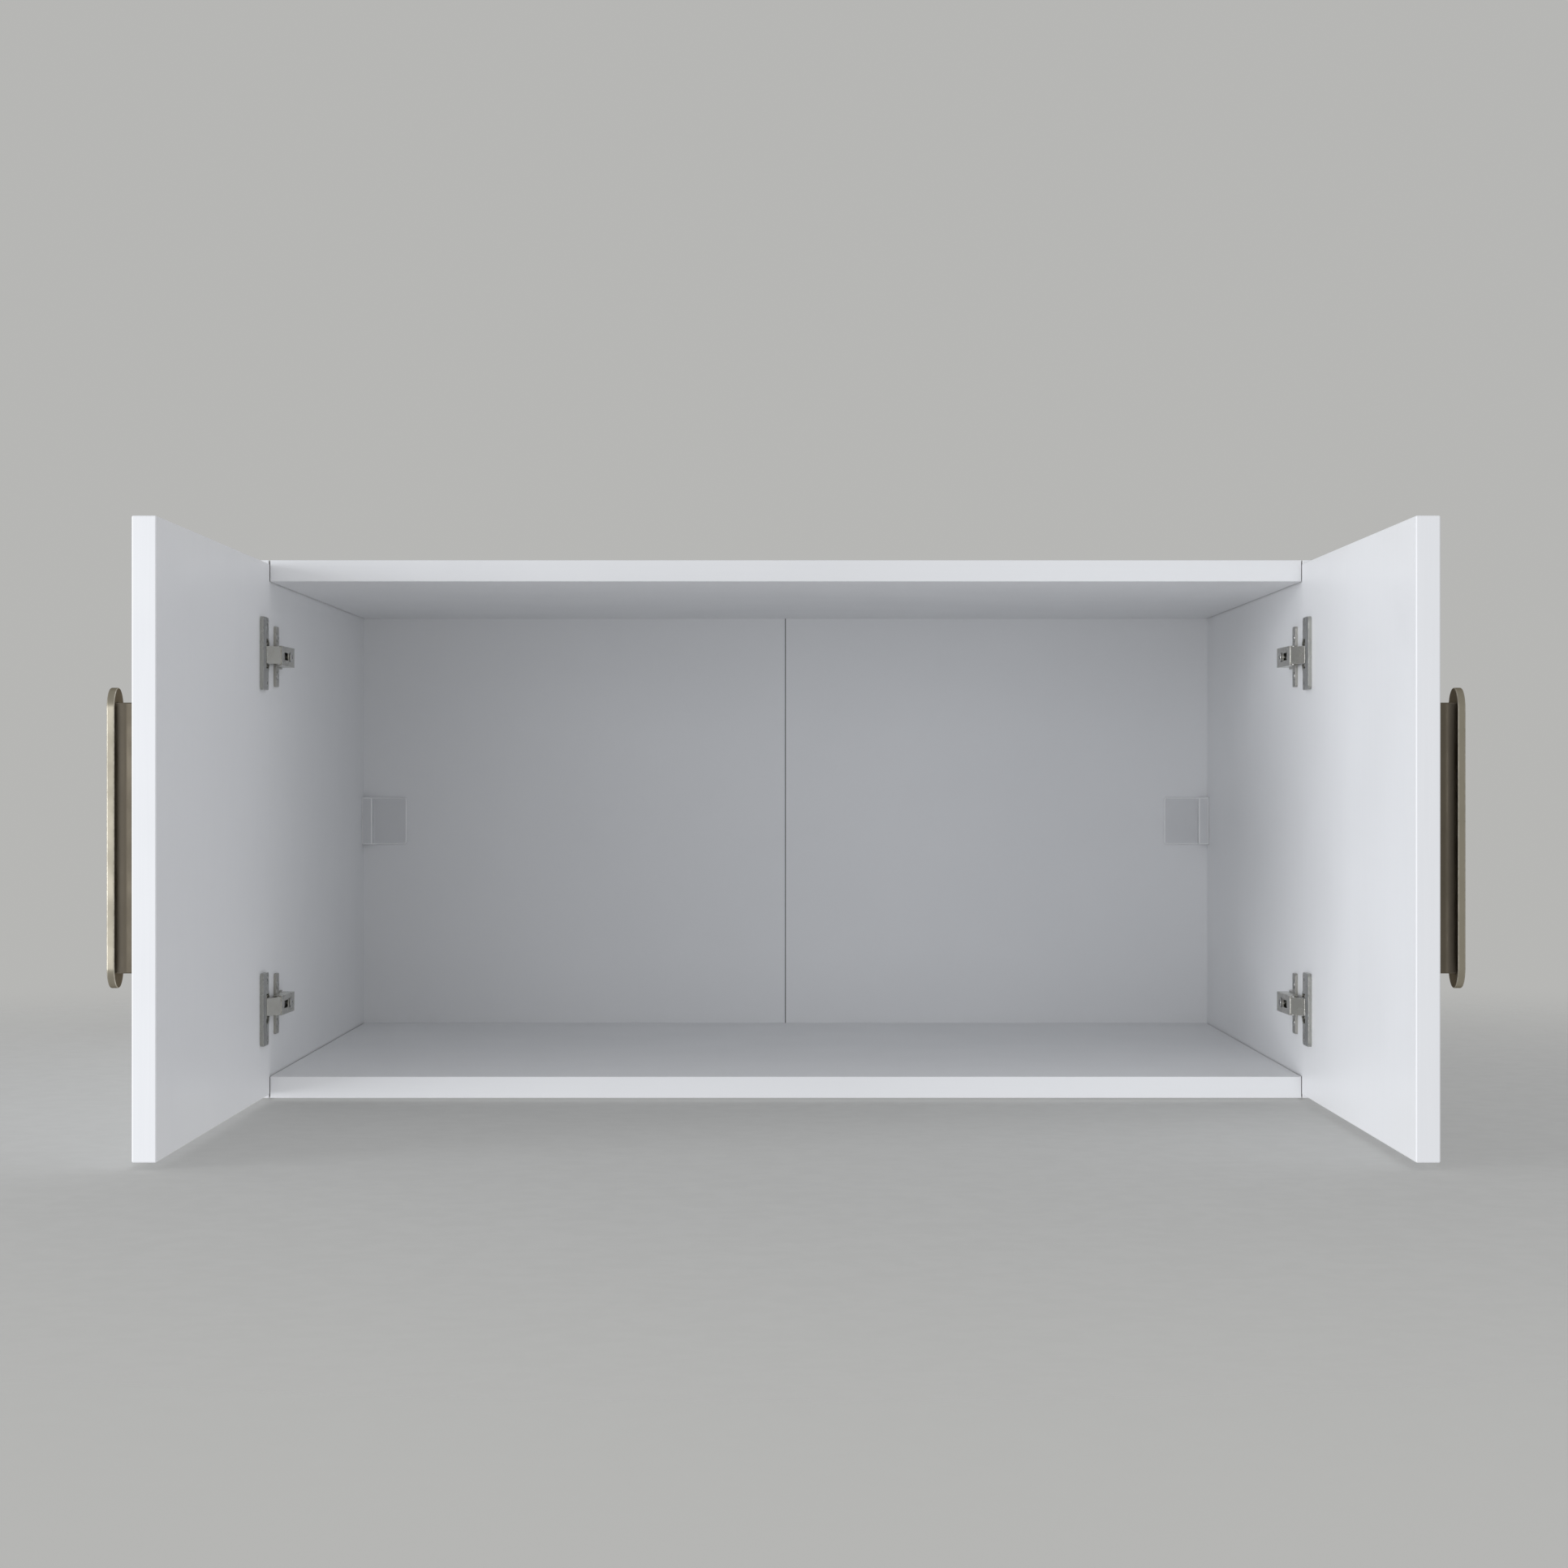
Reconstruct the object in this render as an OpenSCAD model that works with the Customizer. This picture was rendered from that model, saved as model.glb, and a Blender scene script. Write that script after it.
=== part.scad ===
// Wall cabinet with two doors on concealed hinges, drawn with both doors open at a right angle.
// Millimetres. +Z is up, +Y points into the wall, X = 0 is the middle of the width.
// The origin lies on the wall face, at the middle of the width and of the height.

/* [Carcass] */
// Overall width of the carcass
carcass_w = 900; // [600:10:1200]
// Overall height of the carcass
carcass_h = 450; // [400:10:720]
// Depth of the carcass, from the wall to its front edges
carcass_d = 560; // [320:10:620]
// Thickness of the side, top and bottom boards
board_t = 18; // [17:1:22]

/* [Back] */
// Thickness of the back leaves
back_t = 3; // [2.5:0.5:5]
// How far the back leaves lap onto the side boards
rebate_w = 9; // [7:1:11]
// Gap at the seam between the two back leaves
back_seam = 0.8; // [0.4:0.2:2]
// Width of the tape that joins the two leaves at the rear
tape_w = 40; // [24:2:60]
// Thickness of the tape
tape_t = 0.4; // [0.3:0.1:0.6]
// Largest distance between two back nails
nail_pitch = 120; // [80:10:200]
// Length of a back nail under its head
nail_l = 16; // [12:1:20]
// Radius of a back nail's shank
nail_r = 0.7; // [0.6:0.1:1]
// Radius of a back nail's head
nail_head_r = 1.6; // [1.3:0.1:2]
// Thickness of a back nail's head
nail_head_t = 0.6; // [0.4:0.1:0.8]

/* [Joints of the boards] */
// Distance of the front and rear cam joints from the ends of the side boards
cam_inset = 60; // [45:5:90]
// Distance of a cam's centre from the end of its board
cam_reach = 34; // [34:1:40]
// Radius of a cam
cam_r = 7.5; // [7.5:0.5:9]
// Height of a cam
cam_h = 12.5; // [12:0.5:13.5]
// Radius of the cam bolt's shank
bolt_r = 3.2; // [2.8:0.1:3.5]
// Radius of the cam bolt's thread
bolt_thread_r = 2.5; // [2:0.1:3]
// Depth of the cam bolt's thread in the side board
bolt_thread_l = 11; // [9:0.5:13]
// Distance of the dowels from the cam bolts
dowel_offset = 32; // [24:2:48]
// Radius of a dowel
dowel_r = 4; // [3:0.5:4]
// Length of a dowel
dowel_l = 35; // [30:1:40]
// Depth of a dowel in the side board
dowel_in_side = 11; // [9:0.5:13]

/* [Doors] */
// Thickness of a door
door_t = 17; // [16:0.5:19]
// How far a closed door's edge lies inside the carcass's outer side
door_inset = 1.5; // [1:0.25:2.5]
// How much lower than the carcass a door is at its top, and again at its bottom
door_reveal = 3.5; // [1:0.5:5]
// Gap between the two closed doors
door_gap = 3; // [2:0.5:5]
// Gap between a closed door and the front edges
closed_gap = 2; // [1.5:0.25:3]
// How far an open door's inner face stands inside the side board's inner face
open_in = 1.2; // [0.8:0.1:2]
// Gap between an open door's end and the front edges
open_out = 4.6; // [4.4:0.1:6]

/* [Hinge positions] */
// Distance of each hinge from its end of the door
hinge_inset = 75; // [60:1:110]
// How much lower the two hinges sit than a hinge line centred on the door
hinge_drop = 1.3; // [0:0.1:2]
// Distance of the link pin in the arm from the side board's inner face
arm_pin_u = 7.5; // [7.2:0.1:8.4]
// Distance of the link pin in the arm ahead of the front edges
arm_pin_v = 0.5; // [0:0.1:0.8]
// Share of the door's swing that the link turns back
link_turn = 0.4; // [0.38:0.01:0.42]

/* [Hinge cup] */
// Outer radius of the cup
cup_r = 17.4; // [17.2:0.1:17.6]
// Clearance round the cup in its hole
cup_clear = 0.1; // [0.05:0.05:0.3]
// Wall of the cup
cup_wall = 1; // [0.8:0.1:1.2]
// Depth of the cup in the door
cup_depth = 11.5; // [11:0.1:12.5]
// Distance from the door's edge to the cup's hole
cup_edge = 4; // [3.8:0.1:4.4]
// Width of the cup's rim on the door
rim_w = 1.6; // [1:0.1:2]
// Thickness of the cup's rim
rim_t = 0.9; // [0.6:0.1:1.2]
// Thickness of the screw flange
flange_t = 3; // [2.5:0.1:3.4]
// Height of the screw flange
flange_h = 60; // [58:1:66]
// Length of the screw flange behind its screws
flange_back = 6.5; // [6:0.5:8]
// Length of the screw flange ahead of its screws
flange_ahead = 20; // [15:0.5:22]
// Corner radius of the screw flange
flange_corner = 3.5; // [2:0.5:5]
// Height of the mouth that the link passes through the flange by
mouth_h = 24.4; // [20:0.2:24.4]
// Distance of the mouth's front end ahead of the cup's middle
mouth_ahead = 10.5; // [8:0.5:10.5]
// Distance between the two cup screws
cup_screw_pitch = 48; // [45:1:52]
// Distance of the cup screws ahead of the cup's centre
cup_screw_ahead = 6; // [5.5:0.5:9.5]

/* [Hinge link] */
// Height of the link
link_h = 14.5; // [13.5:0.25:15]
// Thickness of the link's sheet
link_t = 1.1; // [0.9:0.1:1.2]
// Distance of the link's outer face from its pin line
link_rise = 3.7; // [3.5:0.1:3.9]
// Distance of the web's rear end from the arm pin, along the link
link_start = 0.4; // [0:0.1:0.8]
// How far the web runs past the cup pin
link_end = 0.3; // [0:0.1:0.5]
// Distance of the neck's nearer corner from the cup pin
neck_near = 2.7; // [2.5:0.1:3]
// Distance of the neck's further corner from the cup pin
neck_far = 5.6; // [5.2:0.1:6]
// Depth of the link's neck at its narrowest
neck_depth = 1.5; // [1.4:0.05:1.6]
// Radius of the link's eye at the arm
link_eye_r = 2.1; // [1.9:0.1:2.3]
// Radius of the link's eye at the cup
cup_eye_r = 1.65; // [1.5:0.05:1.7]
// Radius of the hinge pins
pin_r = 0.9; // [0.8:0.05:1]
// Radial clearance of the link on its pins
pin_clear = 0.05; // [0.03:0.01:0.09]
// How far the arm pin shows at each side of the link
pin_proud = 0.6; // [0.3:0.1:0.8]

/* [Hinge arm] */
// Height of the arm
arm_h = 16.5; // [16.4:0.1:19]
// Thickness of the arm's sheet
arm_t = 1.2; // [1:0.1:1.4]
// Height of the arm's face over the side board at its front end
arm_front_u = 10; // [9.9:0.1:10.6]
// Height of the arm's face over the side board at its rear end
arm_rear_u = 12; // [11.4:0.1:13]
// Distance of the arm's front end behind the front edges
arm_front_v = 2.5; // [2.4:0.1:4]
// Distance of the arm's rear end behind the front edges
arm_rear_v = 55; // [52:1:62]
// Distance of the clamping screw behind the plate's screw line
clamp_behind = 10; // [9:0.5:12]
// Distance of the side adjusting screw ahead of the plate's screw line
adjust_ahead = 6; // [4:0.5:8]
// Length of the slot over the side adjusting screw
slot_l = 18; // [12:0.5:19]
// Width of the slot over the side adjusting screw
slot_w = 6.2; // [5.8:0.2:7]

/* [Hinge mounting plate] */
// Distance of the plate's screw line behind the front edges
plate_setback = 28; // [26:1:37]
// How far the arm's rear end reaches past the plate
plate_short = 3; // [2:0.5:4]
// How far the plate shows at each side of the arm
plate_edge = 1.5; // [1:0.5:3]
// Thickness of the plate
plate_t = 2.2; // [2:0.1:3]
// Height of the plate over both wings
wings_h = 51; // [48:1:60]
// Depth of a wing
wing_w = 14.5; // [13:0.5:17]
// Distance between the plate's two screws
plate_screw_pitch = 32; // [30:1:34]
// Height of the boss that the arm is clamped on
boss_u = 8.2; // [7.6:0.1:8.6]

/* [Screws] */
// Shank radius of the wood screws
wood_screw_r = 1.75; // [1.5:0.05:2]
// Head radius of the wood screws
wood_head_r = 3.4; // [3:0.1:3.8]
// Head height of the wood screws
wood_head_t = 1.6; // [1.2:0.1:2]
// Length of the wood screws under their heads
wood_screw_l = 12; // [9:0.5:14]
// Shank radius of the plate screws
plate_screw_r = 2.5; // [2.2:0.1:3]
// Length of the plate screws under their heads
plate_screw_l = 11; // [9:0.5:13]
// Shank radius of the arm's clamping and adjusting screws
arm_screw_r = 2; // [1.8:0.1:2.5]
// Head radius of the arm's clamping screw
clamp_head_r = 4; // [3.6:0.1:4.4]
// Head radius of the side adjusting screw
adjust_head_r = 2.7; // [2.3:0.1:2.8]
// Head height of the side adjusting screw
adjust_head_t = 1.1; // [0.8:0.1:1.1]
// Head height of the arm's clamping screw
clamp_head_t = 1.4; // [1:0.1:1.8]
// Width of a cross recess
recess_w = 1; // [0.8:0.1:1.2]

/* [Handles] */
// Length of the handle's grip plate
grip_l = 210; // [160:5:300]
// Width of the grip plate
grip_w = 29.6; // [24:0.2:34]
// Thickness of the grip plate
grip_t = 5.5; // [4:0.5:7]
// Length of the handle's stem
stem_l = 189; // [140:1:280]
// Width of the stem at the door
stem_w = 10; // [9:0.5:12]
// Distance of the grip plate from the door
grip_off = 18.5; // [16:0.5:26]
// Radius of the hollow that blends the stem into the grip plate
stem_blend = 7; // [4:0.5:8]
// Distance of the handle's middle from the door's free edge
handle_edge = 45; // [35:1:60]
// Distance between the two handle screws
handle_pitch = 160; // [96:32:160]
// Shank radius of the handle screws
handle_screw_r = 2; // [1.8:0.1:2.5]
// Clearance of the handle screws in the door
handle_screw_clear = 0.25; // [0.1:0.05:0.5]
// Head radius of the handle screws
handle_head_r = 4; // [3.5:0.1:4.5]
// Head height of the handle screws
handle_head_t = 2; // [1.5:0.1:2.6]
// Depth of the handle screws in the stem
handle_screw_in = 9; // [7:0.5:12]
// Radius of the caps over the handle screws
cap_r = 5; // [4.6:0.1:6]
// Thickness of the caps
cap_t = 1.2; // [0.8:0.1:2]

/* [Wall brackets] */
// Height of a bracket
bracket_h = 45; // [36:1:60]
// Reach of a bracket along the back
bracket_back = 43; // [38:1:60]
// Reach of a bracket along the side board
bracket_side = 12; // [11:0.5:14]
// Thickness of a bracket's steel
bracket_t = 1.5; // [1.2:0.1:2]
// Distance of the wall screw hole from the side board
wall_hole_u = 28; // [24:1:32]
// Radius of the wall screw hole
wall_hole_r = 3.25; // [2.5:0.25:4]
// Distance between a bracket's two screws
bracket_pitch = 24; // [18:1:30]
// Distance of a bracket's two screws ahead of the back
bracket_screw_ahead = 7; // [6:0.5:8]

/* [Bracket covers] */
// Wall of a cover
cover_t = 1.2; // [1:0.1:1.6]
// Clearance between a cover and its bracket at the edges
cover_clear = 0.3; // [0.1:0.1:0.5]
// Width of the cover's block along the back
cover_block = 10.4; // [9.6:0.1:14]
// Radius of the hollow corner between a cover's block and its flat part
cover_fillet = 1.6; // [1:0.2:3]
// Corner radius of a cover's flat part
cover_corner = 2.5; // [1:0.5:4]

/* [Hidden] */

$fn = 48;
// What a cut runs past a face, so that no skin is left on it
over = 1;

// Carcass
inner_half = carcass_w / 2 - board_t;
leaf_d = carcass_d - back_t;
cam_gap = 0.2;
cam_y = [-carcass_d + cam_inset, -cam_inset];
dowel_y = [-carcass_d + cam_inset + dowel_offset, -cam_inset - dowel_offset];
bolt_channel_r = dowel_r;
bolt_neck_r = bolt_r * 0.65;

// Doors, open at a right angle
door_w = (carcass_w - 2 * door_inset - door_gap) / 2;
door_h = carcass_h - 2 * door_reveal;

// Heights of a hinge's middle, level 1 is the upper hinge and -1 the lower
function hinge_z(level) = level * (door_h / 2 - hinge_inset) - hinge_drop;

// Hinge plane. u runs inwards from the side board's inner face and v forwards from the front
// edges. The door's inner corner lies at closed_corner when closed and at open_corner when open.
closed_corner = [door_inset - board_t, closed_gap];
open_corner = [open_in, open_out];
arm_pin = [arm_pin_u, arm_pin_v];

// The link turns back by this angle while the door opens by a right angle. The cup pin is the
// one point of the door that both turns carry to the same place.
turn = 90 * link_turn;
shift = [open_corner[0] + closed_corner[1], open_corner[1] - closed_corner[0]];
turned_arm_pin = [
    cos(turn) * arm_pin[0] + sin(turn) * arm_pin[1],
    cos(turn) * arm_pin[1] - sin(turn) * arm_pin[0]
];
rest = arm_pin - turned_arm_pin - shift;
span = pow(cos(turn), 2) + pow(1 + sin(turn), 2);
cup_pin_closed = [
    (-cos(turn) * rest[0] + (1 + sin(turn)) * rest[1]) / span,
    (-(1 + sin(turn)) * rest[0] - cos(turn) * rest[1]) / span
];
cup_pin = [shift[0] - cup_pin_closed[1], shift[1] + cup_pin_closed[0]];
link_l = norm(cup_pin - arm_pin);
link_angle = atan2(cup_pin[1] - arm_pin[1], cup_pin[0] - arm_pin[0]);

// Cross recesses of the screws, as a share of the head, and of the cams
recess_share = 0.6;
cam_recess = 2;

// Cup
cup_v = open_out + cup_edge + cup_r + cup_clear;
cup_in_r = cup_r - cup_wall;
cup_screw_v = cup_v + cup_screw_ahead;
link_gap = 0.5;
bore_clear = 0.2;
cheek_t = 2;
cheek_z = link_h / 2 + link_gap;
notch_depth = 2.2;
notch_h = link_h + 2 * link_gap;

// Arm
arm_in_h = arm_h - 2 * arm_t;
nose_clear = 0.2;
nose_h = link_h - 2 * (link_t + nose_clear);
nose_r = link_rise - link_t - link_gap;
nose_back = 10;
clamp_v = plate_setback + clamp_behind;
adjust_v = plate_setback - adjust_ahead;
function arm_face(v) = arm_front_u
    + (arm_rear_u - arm_front_u) * (v - arm_front_v) / (arm_rear_v - arm_front_v);

// Plate
plate_front_v = plate_setback - wing_w / 2;
plate_rear_v = arm_rear_v - plate_short;
plate_body_h = arm_h + 2 * plate_edge;
wing_corner = 2;
plate_sink = 1;
head_more = 0.4;
plate_head_r = wood_head_r + head_more;
boss_clear = 0.3;
boss_ahead = 4;
boss_behind = 6;
boss_h = arm_in_h - 2 * boss_clear;
boss_front_v = adjust_v - boss_ahead;
boss_rear_v = clamp_v + boss_behind;

// Handle
handle_v = open_out + door_w - handle_edge;
door_out_u = open_in - door_t;
head_seat_u = open_in - cap_t - handle_head_t;

// Colours
white = [0.90, 0.91, 0.92];
white_plastic = [0.88, 0.89, 0.90];
brown_board = [0.62, 0.56, 0.47];
beech = [0.80, 0.66, 0.47];
steel = [0.66, 0.66, 0.65];
bright_steel = [0.76, 0.76, 0.74];
champagne = [0.62, 0.57, 0.48];

// Mirrors the left side's pieces for the right side, -1 is left and 1 is right
module on_side(side) {
    mirror([side > 0 ? 1 : 0, 0, 0])
        children();
}

// Puts a shape that is drawn in the hinge plane, x = u and y = v, at a height on one side
module in_hinge_plane(side, z) {
    on_side(side)
        translate([-inner_half, -carcass_d, z])
            mirror([0, 1, 0])
                children();
}

// Repeats a shape at the upper and the lower hinge of one side
module at_hinges(side) {
    for (level = [-1, 1])
        in_hinge_plane(side, hinge_z(level))
            children();
}

// Flat shape with round ends along Y, centred on the origin
module stadium(w, l) {
    square([w, l - w], center = true);
    for (end = [-1, 1])
        translate([0, end * (l - w) / 2])
            circle(d = w);
}

// Cylinder along +X from the origin
module rod_x(r, l) {
    rotate([0, 90, 0])
        cylinder(r = r, h = l);
}

// Flat rectangle with round corners, centred on the origin
module rounded_rect(w, h, r) {
    square([w - 2 * r, h], center = true);
    square([w, h - 2 * r], center = true);
    for (x = [-1, 1], y = [-1, 1])
        translate([x * (w / 2 - r), y * (h / 2 - r)])
            circle(r = r);
}

// Cross recess that a screw head is cut with, its mouth at the origin, running to -X
module cross_recess(r, depth) {
    for (a = [0, 90])
        rotate([a, 0, 0])
            translate([-depth, -r, -recess_w / 2])
                cube([depth + over, 2 * r, recess_w]);
}

// Screw whose head seats at the origin: the head stands to +X and the shank runs to -X
module screw(head_r, head_t, shank_r, shank_l) {
    difference() {
        rod_x(head_r, head_t);
        translate([head_t, 0, 0])
            cross_recess(head_r * recess_share, head_t * recess_share);
    }
    translate([-shank_l, 0, 0])
        rod_x(shank_r, shank_l);
}

// Places of the back nails along one edge of the given length, clear of its ends
function nail_steps(l) = let (n = max(2, ceil(l / nail_pitch)))
    [for (i = [0:n - 1]) -l / 2 + l / n * (i + 0.5)];

module at_nails() {
    for (side = [-1, 1], z = nail_steps(carcass_h - 2 * board_t))
        translate([side * (inner_half + rebate_w / 2), 0, z])
            children();
    for (level = [-1, 1], half = [-1, 1], x = nail_steps(inner_half - back_seam))
        translate([half * inner_half / 2 + x, 0, level * (carcass_h - board_t) / 2])
            children();
}

module nail_hole() {
    rotate([90, 0, 0])
        cylinder(r = nail_r, h = back_t + nail_l);
    translate([0, over, 0])
        rotate([90, 0, 0])
            cylinder(r = nail_head_r, h = over + nail_head_t);
}

module back_nails() {
    color(steel)
        at_nails()
            rotate([90, 0, 0]) {
                cylinder(r = nail_head_r, h = nail_head_t);
                cylinder(r = nail_r, h = nail_head_t + nail_l);
            }
}

// Side board, drawn for the left side
module side_panel(side) {
    color(white)
        difference() {
            on_side(side)
                difference() {
                    translate([-carcass_w / 2, -carcass_d, -carcass_h / 2])
                        cube([board_t, carcass_d, carcass_h]);
                    translate([-inner_half - rebate_w, -back_t, -carcass_h / 2 - over])
                        cube([rebate_w + over, back_t + over, carcass_h + 2 * over]);
                    for (level = [-1, 1]) {
                        z = level * (carcass_h - board_t) / 2;
                        for (y = cam_y)
                            translate([-inner_half - bolt_thread_l, y, z])
                                rod_x(bolt_thread_r, bolt_thread_l + over);
                        for (y = dowel_y)
                            translate([-inner_half - dowel_in_side, y, z])
                                rod_x(dowel_r, dowel_in_side + over);
                        for (dz = [-0.5, 0.5])
                            translate([-inner_half - plate_screw_l, -carcass_d + plate_setback,
                                hinge_z(level) + dz * plate_screw_pitch])
                                rod_x(plate_screw_r, plate_screw_l + over);
                        translate([-inner_half - wood_screw_l, -back_t - bracket_screw_ahead,
                            level * bracket_pitch / 2])
                            rod_x(wood_screw_r, wood_screw_l + over);
                    }
                }
            at_nails()
                nail_hole();
        }
}

// Board between the sides, level 1 is the top and level -1 the bottom
module cross_panel(level) {
    color(white)
        difference() {
            translate([-inner_half, -carcass_d, level * (carcass_h - board_t) / 2 - board_t / 2])
                cube([2 * inner_half, leaf_d, board_t]);
            for (side = [-1, 1])
                on_side(side) {
                    for (y = cam_y)
                        translate([-inner_half, y, level * (carcass_h - board_t) / 2]) {
                            translate([-over, 0, 0])
                                rod_x(bolt_channel_r, cam_reach + over);
                            translate([cam_reach, 0, 0])
                                cam_place(level)
                                    cylinder(r = cam_r, h = cam_h + cam_gap + over);
                        }
                    for (y = dowel_y)
                        translate([-inner_half - over, y, level * (carcass_h - board_t) / 2])
                            rod_x(dowel_r, dowel_l - dowel_in_side + over);
                }
            at_nails()
                nail_hole();
        }
}

// Turns a shape that grows to +Z so that it ends flush in the hidden face of its board
module cam_place(level) {
    mirror([0, 0, level > 0 ? 0 : 1])
        translate([0, 0, board_t / 2 - cam_h - cam_gap])
            children();
}

module at_cams() {
    for (side = [-1, 1], level = [-1, 1], y = cam_y)
        on_side(side)
            translate([-inner_half, y, level * (carcass_h - board_t) / 2])
                translate([cam_reach, 0, 0])
                    cam_place(level)
                        children();
}

module cam_locks() {
    bolt_z = cam_h + cam_gap - board_t / 2;
    color(bright_steel)
        at_cams()
            difference() {
                cylinder(r = cam_r, h = cam_h);
                translate([-cam_r - over, 0, bolt_z])
                    rod_x(bolt_channel_r, cam_r + over + bolt_r);
                translate([0, 0, cam_h])
                    rotate([0, -90, 0])
                        cross_recess(cam_r * recess_share, cam_recess);
            }
}

module cam_bolts() {
    color(bright_steel)
        for (side = [-1, 1], level = [-1, 1], y = cam_y)
            on_side(side)
                translate([-inner_half, y, level * (carcass_h - board_t) / 2]) {
                    translate([-bolt_thread_l, 0, 0])
                        rod_x(bolt_thread_r, bolt_thread_l);
                    rod_x(bolt_r, cam_reach - cam_r);
                    rod_x(bolt_neck_r, cam_reach);
                    translate([cam_reach - bolt_r * 0.6, 0, 0])
                        rod_x(bolt_r, bolt_r);
                }
}

module wooden_dowels() {
    color(beech)
        for (side = [-1, 1], level = [-1, 1], y = dowel_y)
            on_side(side)
                translate([-inner_half - dowel_in_side, y, level * (carcass_h - board_t) / 2])
                    rod_x(dowel_r, dowel_l);
}

// Back leaf, its outer edge in the side board's rebate
module back_leaf(side) {
    leaf_w = inner_half + rebate_w - back_seam / 2;
    color(white)
        difference() {
            on_side(side)
                difference() {
                    translate([-inner_half - rebate_w, -back_t, -carcass_h / 2])
                        cube([leaf_w, back_t, carcass_h]);
                    translate([-tape_w / 2, -tape_t, -carcass_h / 2 - over])
                        cube([tape_w, tape_t + over, carcass_h + 2 * over]);
                    translate([-inner_half + wall_hole_u, over, 0])
                        rotate([90, 0, 0])
                            cylinder(r = wall_hole_r, h = back_t + 2 * over);
                }
            at_nails()
                nail_hole();
        }
}

module back_seam_tape() {
    color(brown_board)
        difference() {
            translate([-tape_w / 2, -tape_t, -carcass_h / 2])
                cube([tape_w, tape_t, carcass_h]);
            at_nails()
                nail_hole();
        }
}

// Puts a shape at a rear corner: x runs from the side board and y runs forwards from the back
module in_rear_corner(side) {
    on_side(side)
        translate([-inner_half, -back_t, 0])
            mirror([0, 1, 0])
                children();
}

module wall_bracket(side) {
    color(bright_steel)
        in_rear_corner(side)
            difference() {
                union() {
                    translate([0, 0, -bracket_h / 2])
                        cube([bracket_back, bracket_t, bracket_h]);
                    translate([0, 0, -bracket_h / 2])
                        cube([bracket_t, bracket_side, bracket_h]);
                }
                translate([wall_hole_u, -over, 0])
                    rotate([-90, 0, 0])
                        cylinder(r = wall_hole_r, h = bracket_t + 2 * over);
                for (dz = [-0.5, 0.5])
                    translate([-over, bracket_screw_ahead, dz * bracket_pitch])
                        rod_x(wood_screw_r, bracket_t + 2 * over);
            }
}

module bracket_cover(side) {
    cover_h = bracket_h + 2 * (cover_t + cover_clear);
    cover_back = bracket_back + cover_t + cover_clear;
    cover_side = bracket_side + cover_t + cover_clear;
    cover_flat = bracket_t + cover_t;
    color(white_plastic)
        in_rear_corner(side)
            difference() {
                union() {
                    translate([cover_back / 2, cover_flat, 0])
                        rotate([90, 0, 0])
                            linear_extrude(cover_flat)
                                rounded_rect(cover_back, cover_h, cover_corner);
                    translate([0, 0, -cover_h / 2])
                        cube([cover_block, cover_side, cover_h]);
                    translate([cover_block, cover_flat, -cover_h / 2])
                        linear_extrude(cover_h)
                            difference() {
                                square(cover_fillet);
                                translate([cover_fillet, cover_fillet])
                                    circle(r = cover_fillet);
                            }
                }
                translate([-over, -over, -bracket_h / 2 - cover_clear])
                    cube([over + bracket_back + cover_clear, over + bracket_t, bracket_h + 2 * cover_clear]);
                translate([-over, -over, -bracket_h / 2 - cover_clear])
                    cube([over + cover_block - cover_t, over + bracket_side + cover_clear,
                        bracket_h + 2 * cover_clear]);
            }
}

module bracket_screws() {
    color(steel)
        for (side = [-1, 1], dz = [-0.5, 0.5])
            in_rear_corner(side)
                translate([bracket_t, bracket_screw_ahead, dz * bracket_pitch])
                    screw(wood_head_r, wood_head_t, wood_screw_r, wood_screw_l);
}

// Cross plate on the side board with the boss that the arm is clamped on
module mounting_plate(side, level) {
    color(steel)
        in_hinge_plane(side, hinge_z(level))
            difference() {
                union() {
                    translate([0, -plate_setback, 0])
                        rotate([0, 90, 0])
                            linear_extrude(plate_t)
                                rounded_rect(wings_h, wing_w, wing_corner);
                    translate([0, -plate_rear_v, -plate_body_h / 2])
                        cube([plate_t, plate_rear_v - plate_front_v, plate_body_h]);
                    translate([0, -boss_rear_v, -boss_h / 2])
                        cube([boss_u, boss_rear_v - boss_front_v, boss_h]);
                }
                for (dz = [-0.5, 0.5])
                    translate([0, -plate_setback, dz * plate_screw_pitch]) {
                        translate([-over, 0, 0])
                            rod_x(plate_screw_r, plate_t + 2 * over);
                        translate([plate_t - plate_sink, 0, 0])
                            rod_x(plate_head_r, plate_sink + over);
                    }
                for (v = [clamp_v, adjust_v])
                    translate([-over, -v, 0])
                        rod_x(arm_screw_r, boss_u + 2 * over);
            }
}

module plate_screws(side) {
    color(bright_steel)
        at_hinges(side)
            for (dz = [-0.5, 0.5])
                translate([plate_t - 1, -plate_setback, dz * plate_screw_pitch])
                    screw(plate_head_r, wood_head_t, plate_screw_r, plate_screw_l);
}

// Side view of the arm in the hinge plane, less by the given amount all round its face
module arm_outline(less) {
    polygon([
        [plate_t, -arm_rear_v + less],
        [plate_t, -plate_front_v],
        [plate_t + 1, -arm_front_v - less],
        [arm_front_u - less, -arm_front_v - less],
        [arm_rear_u - less, -arm_rear_v + less]
    ]);
}

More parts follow.
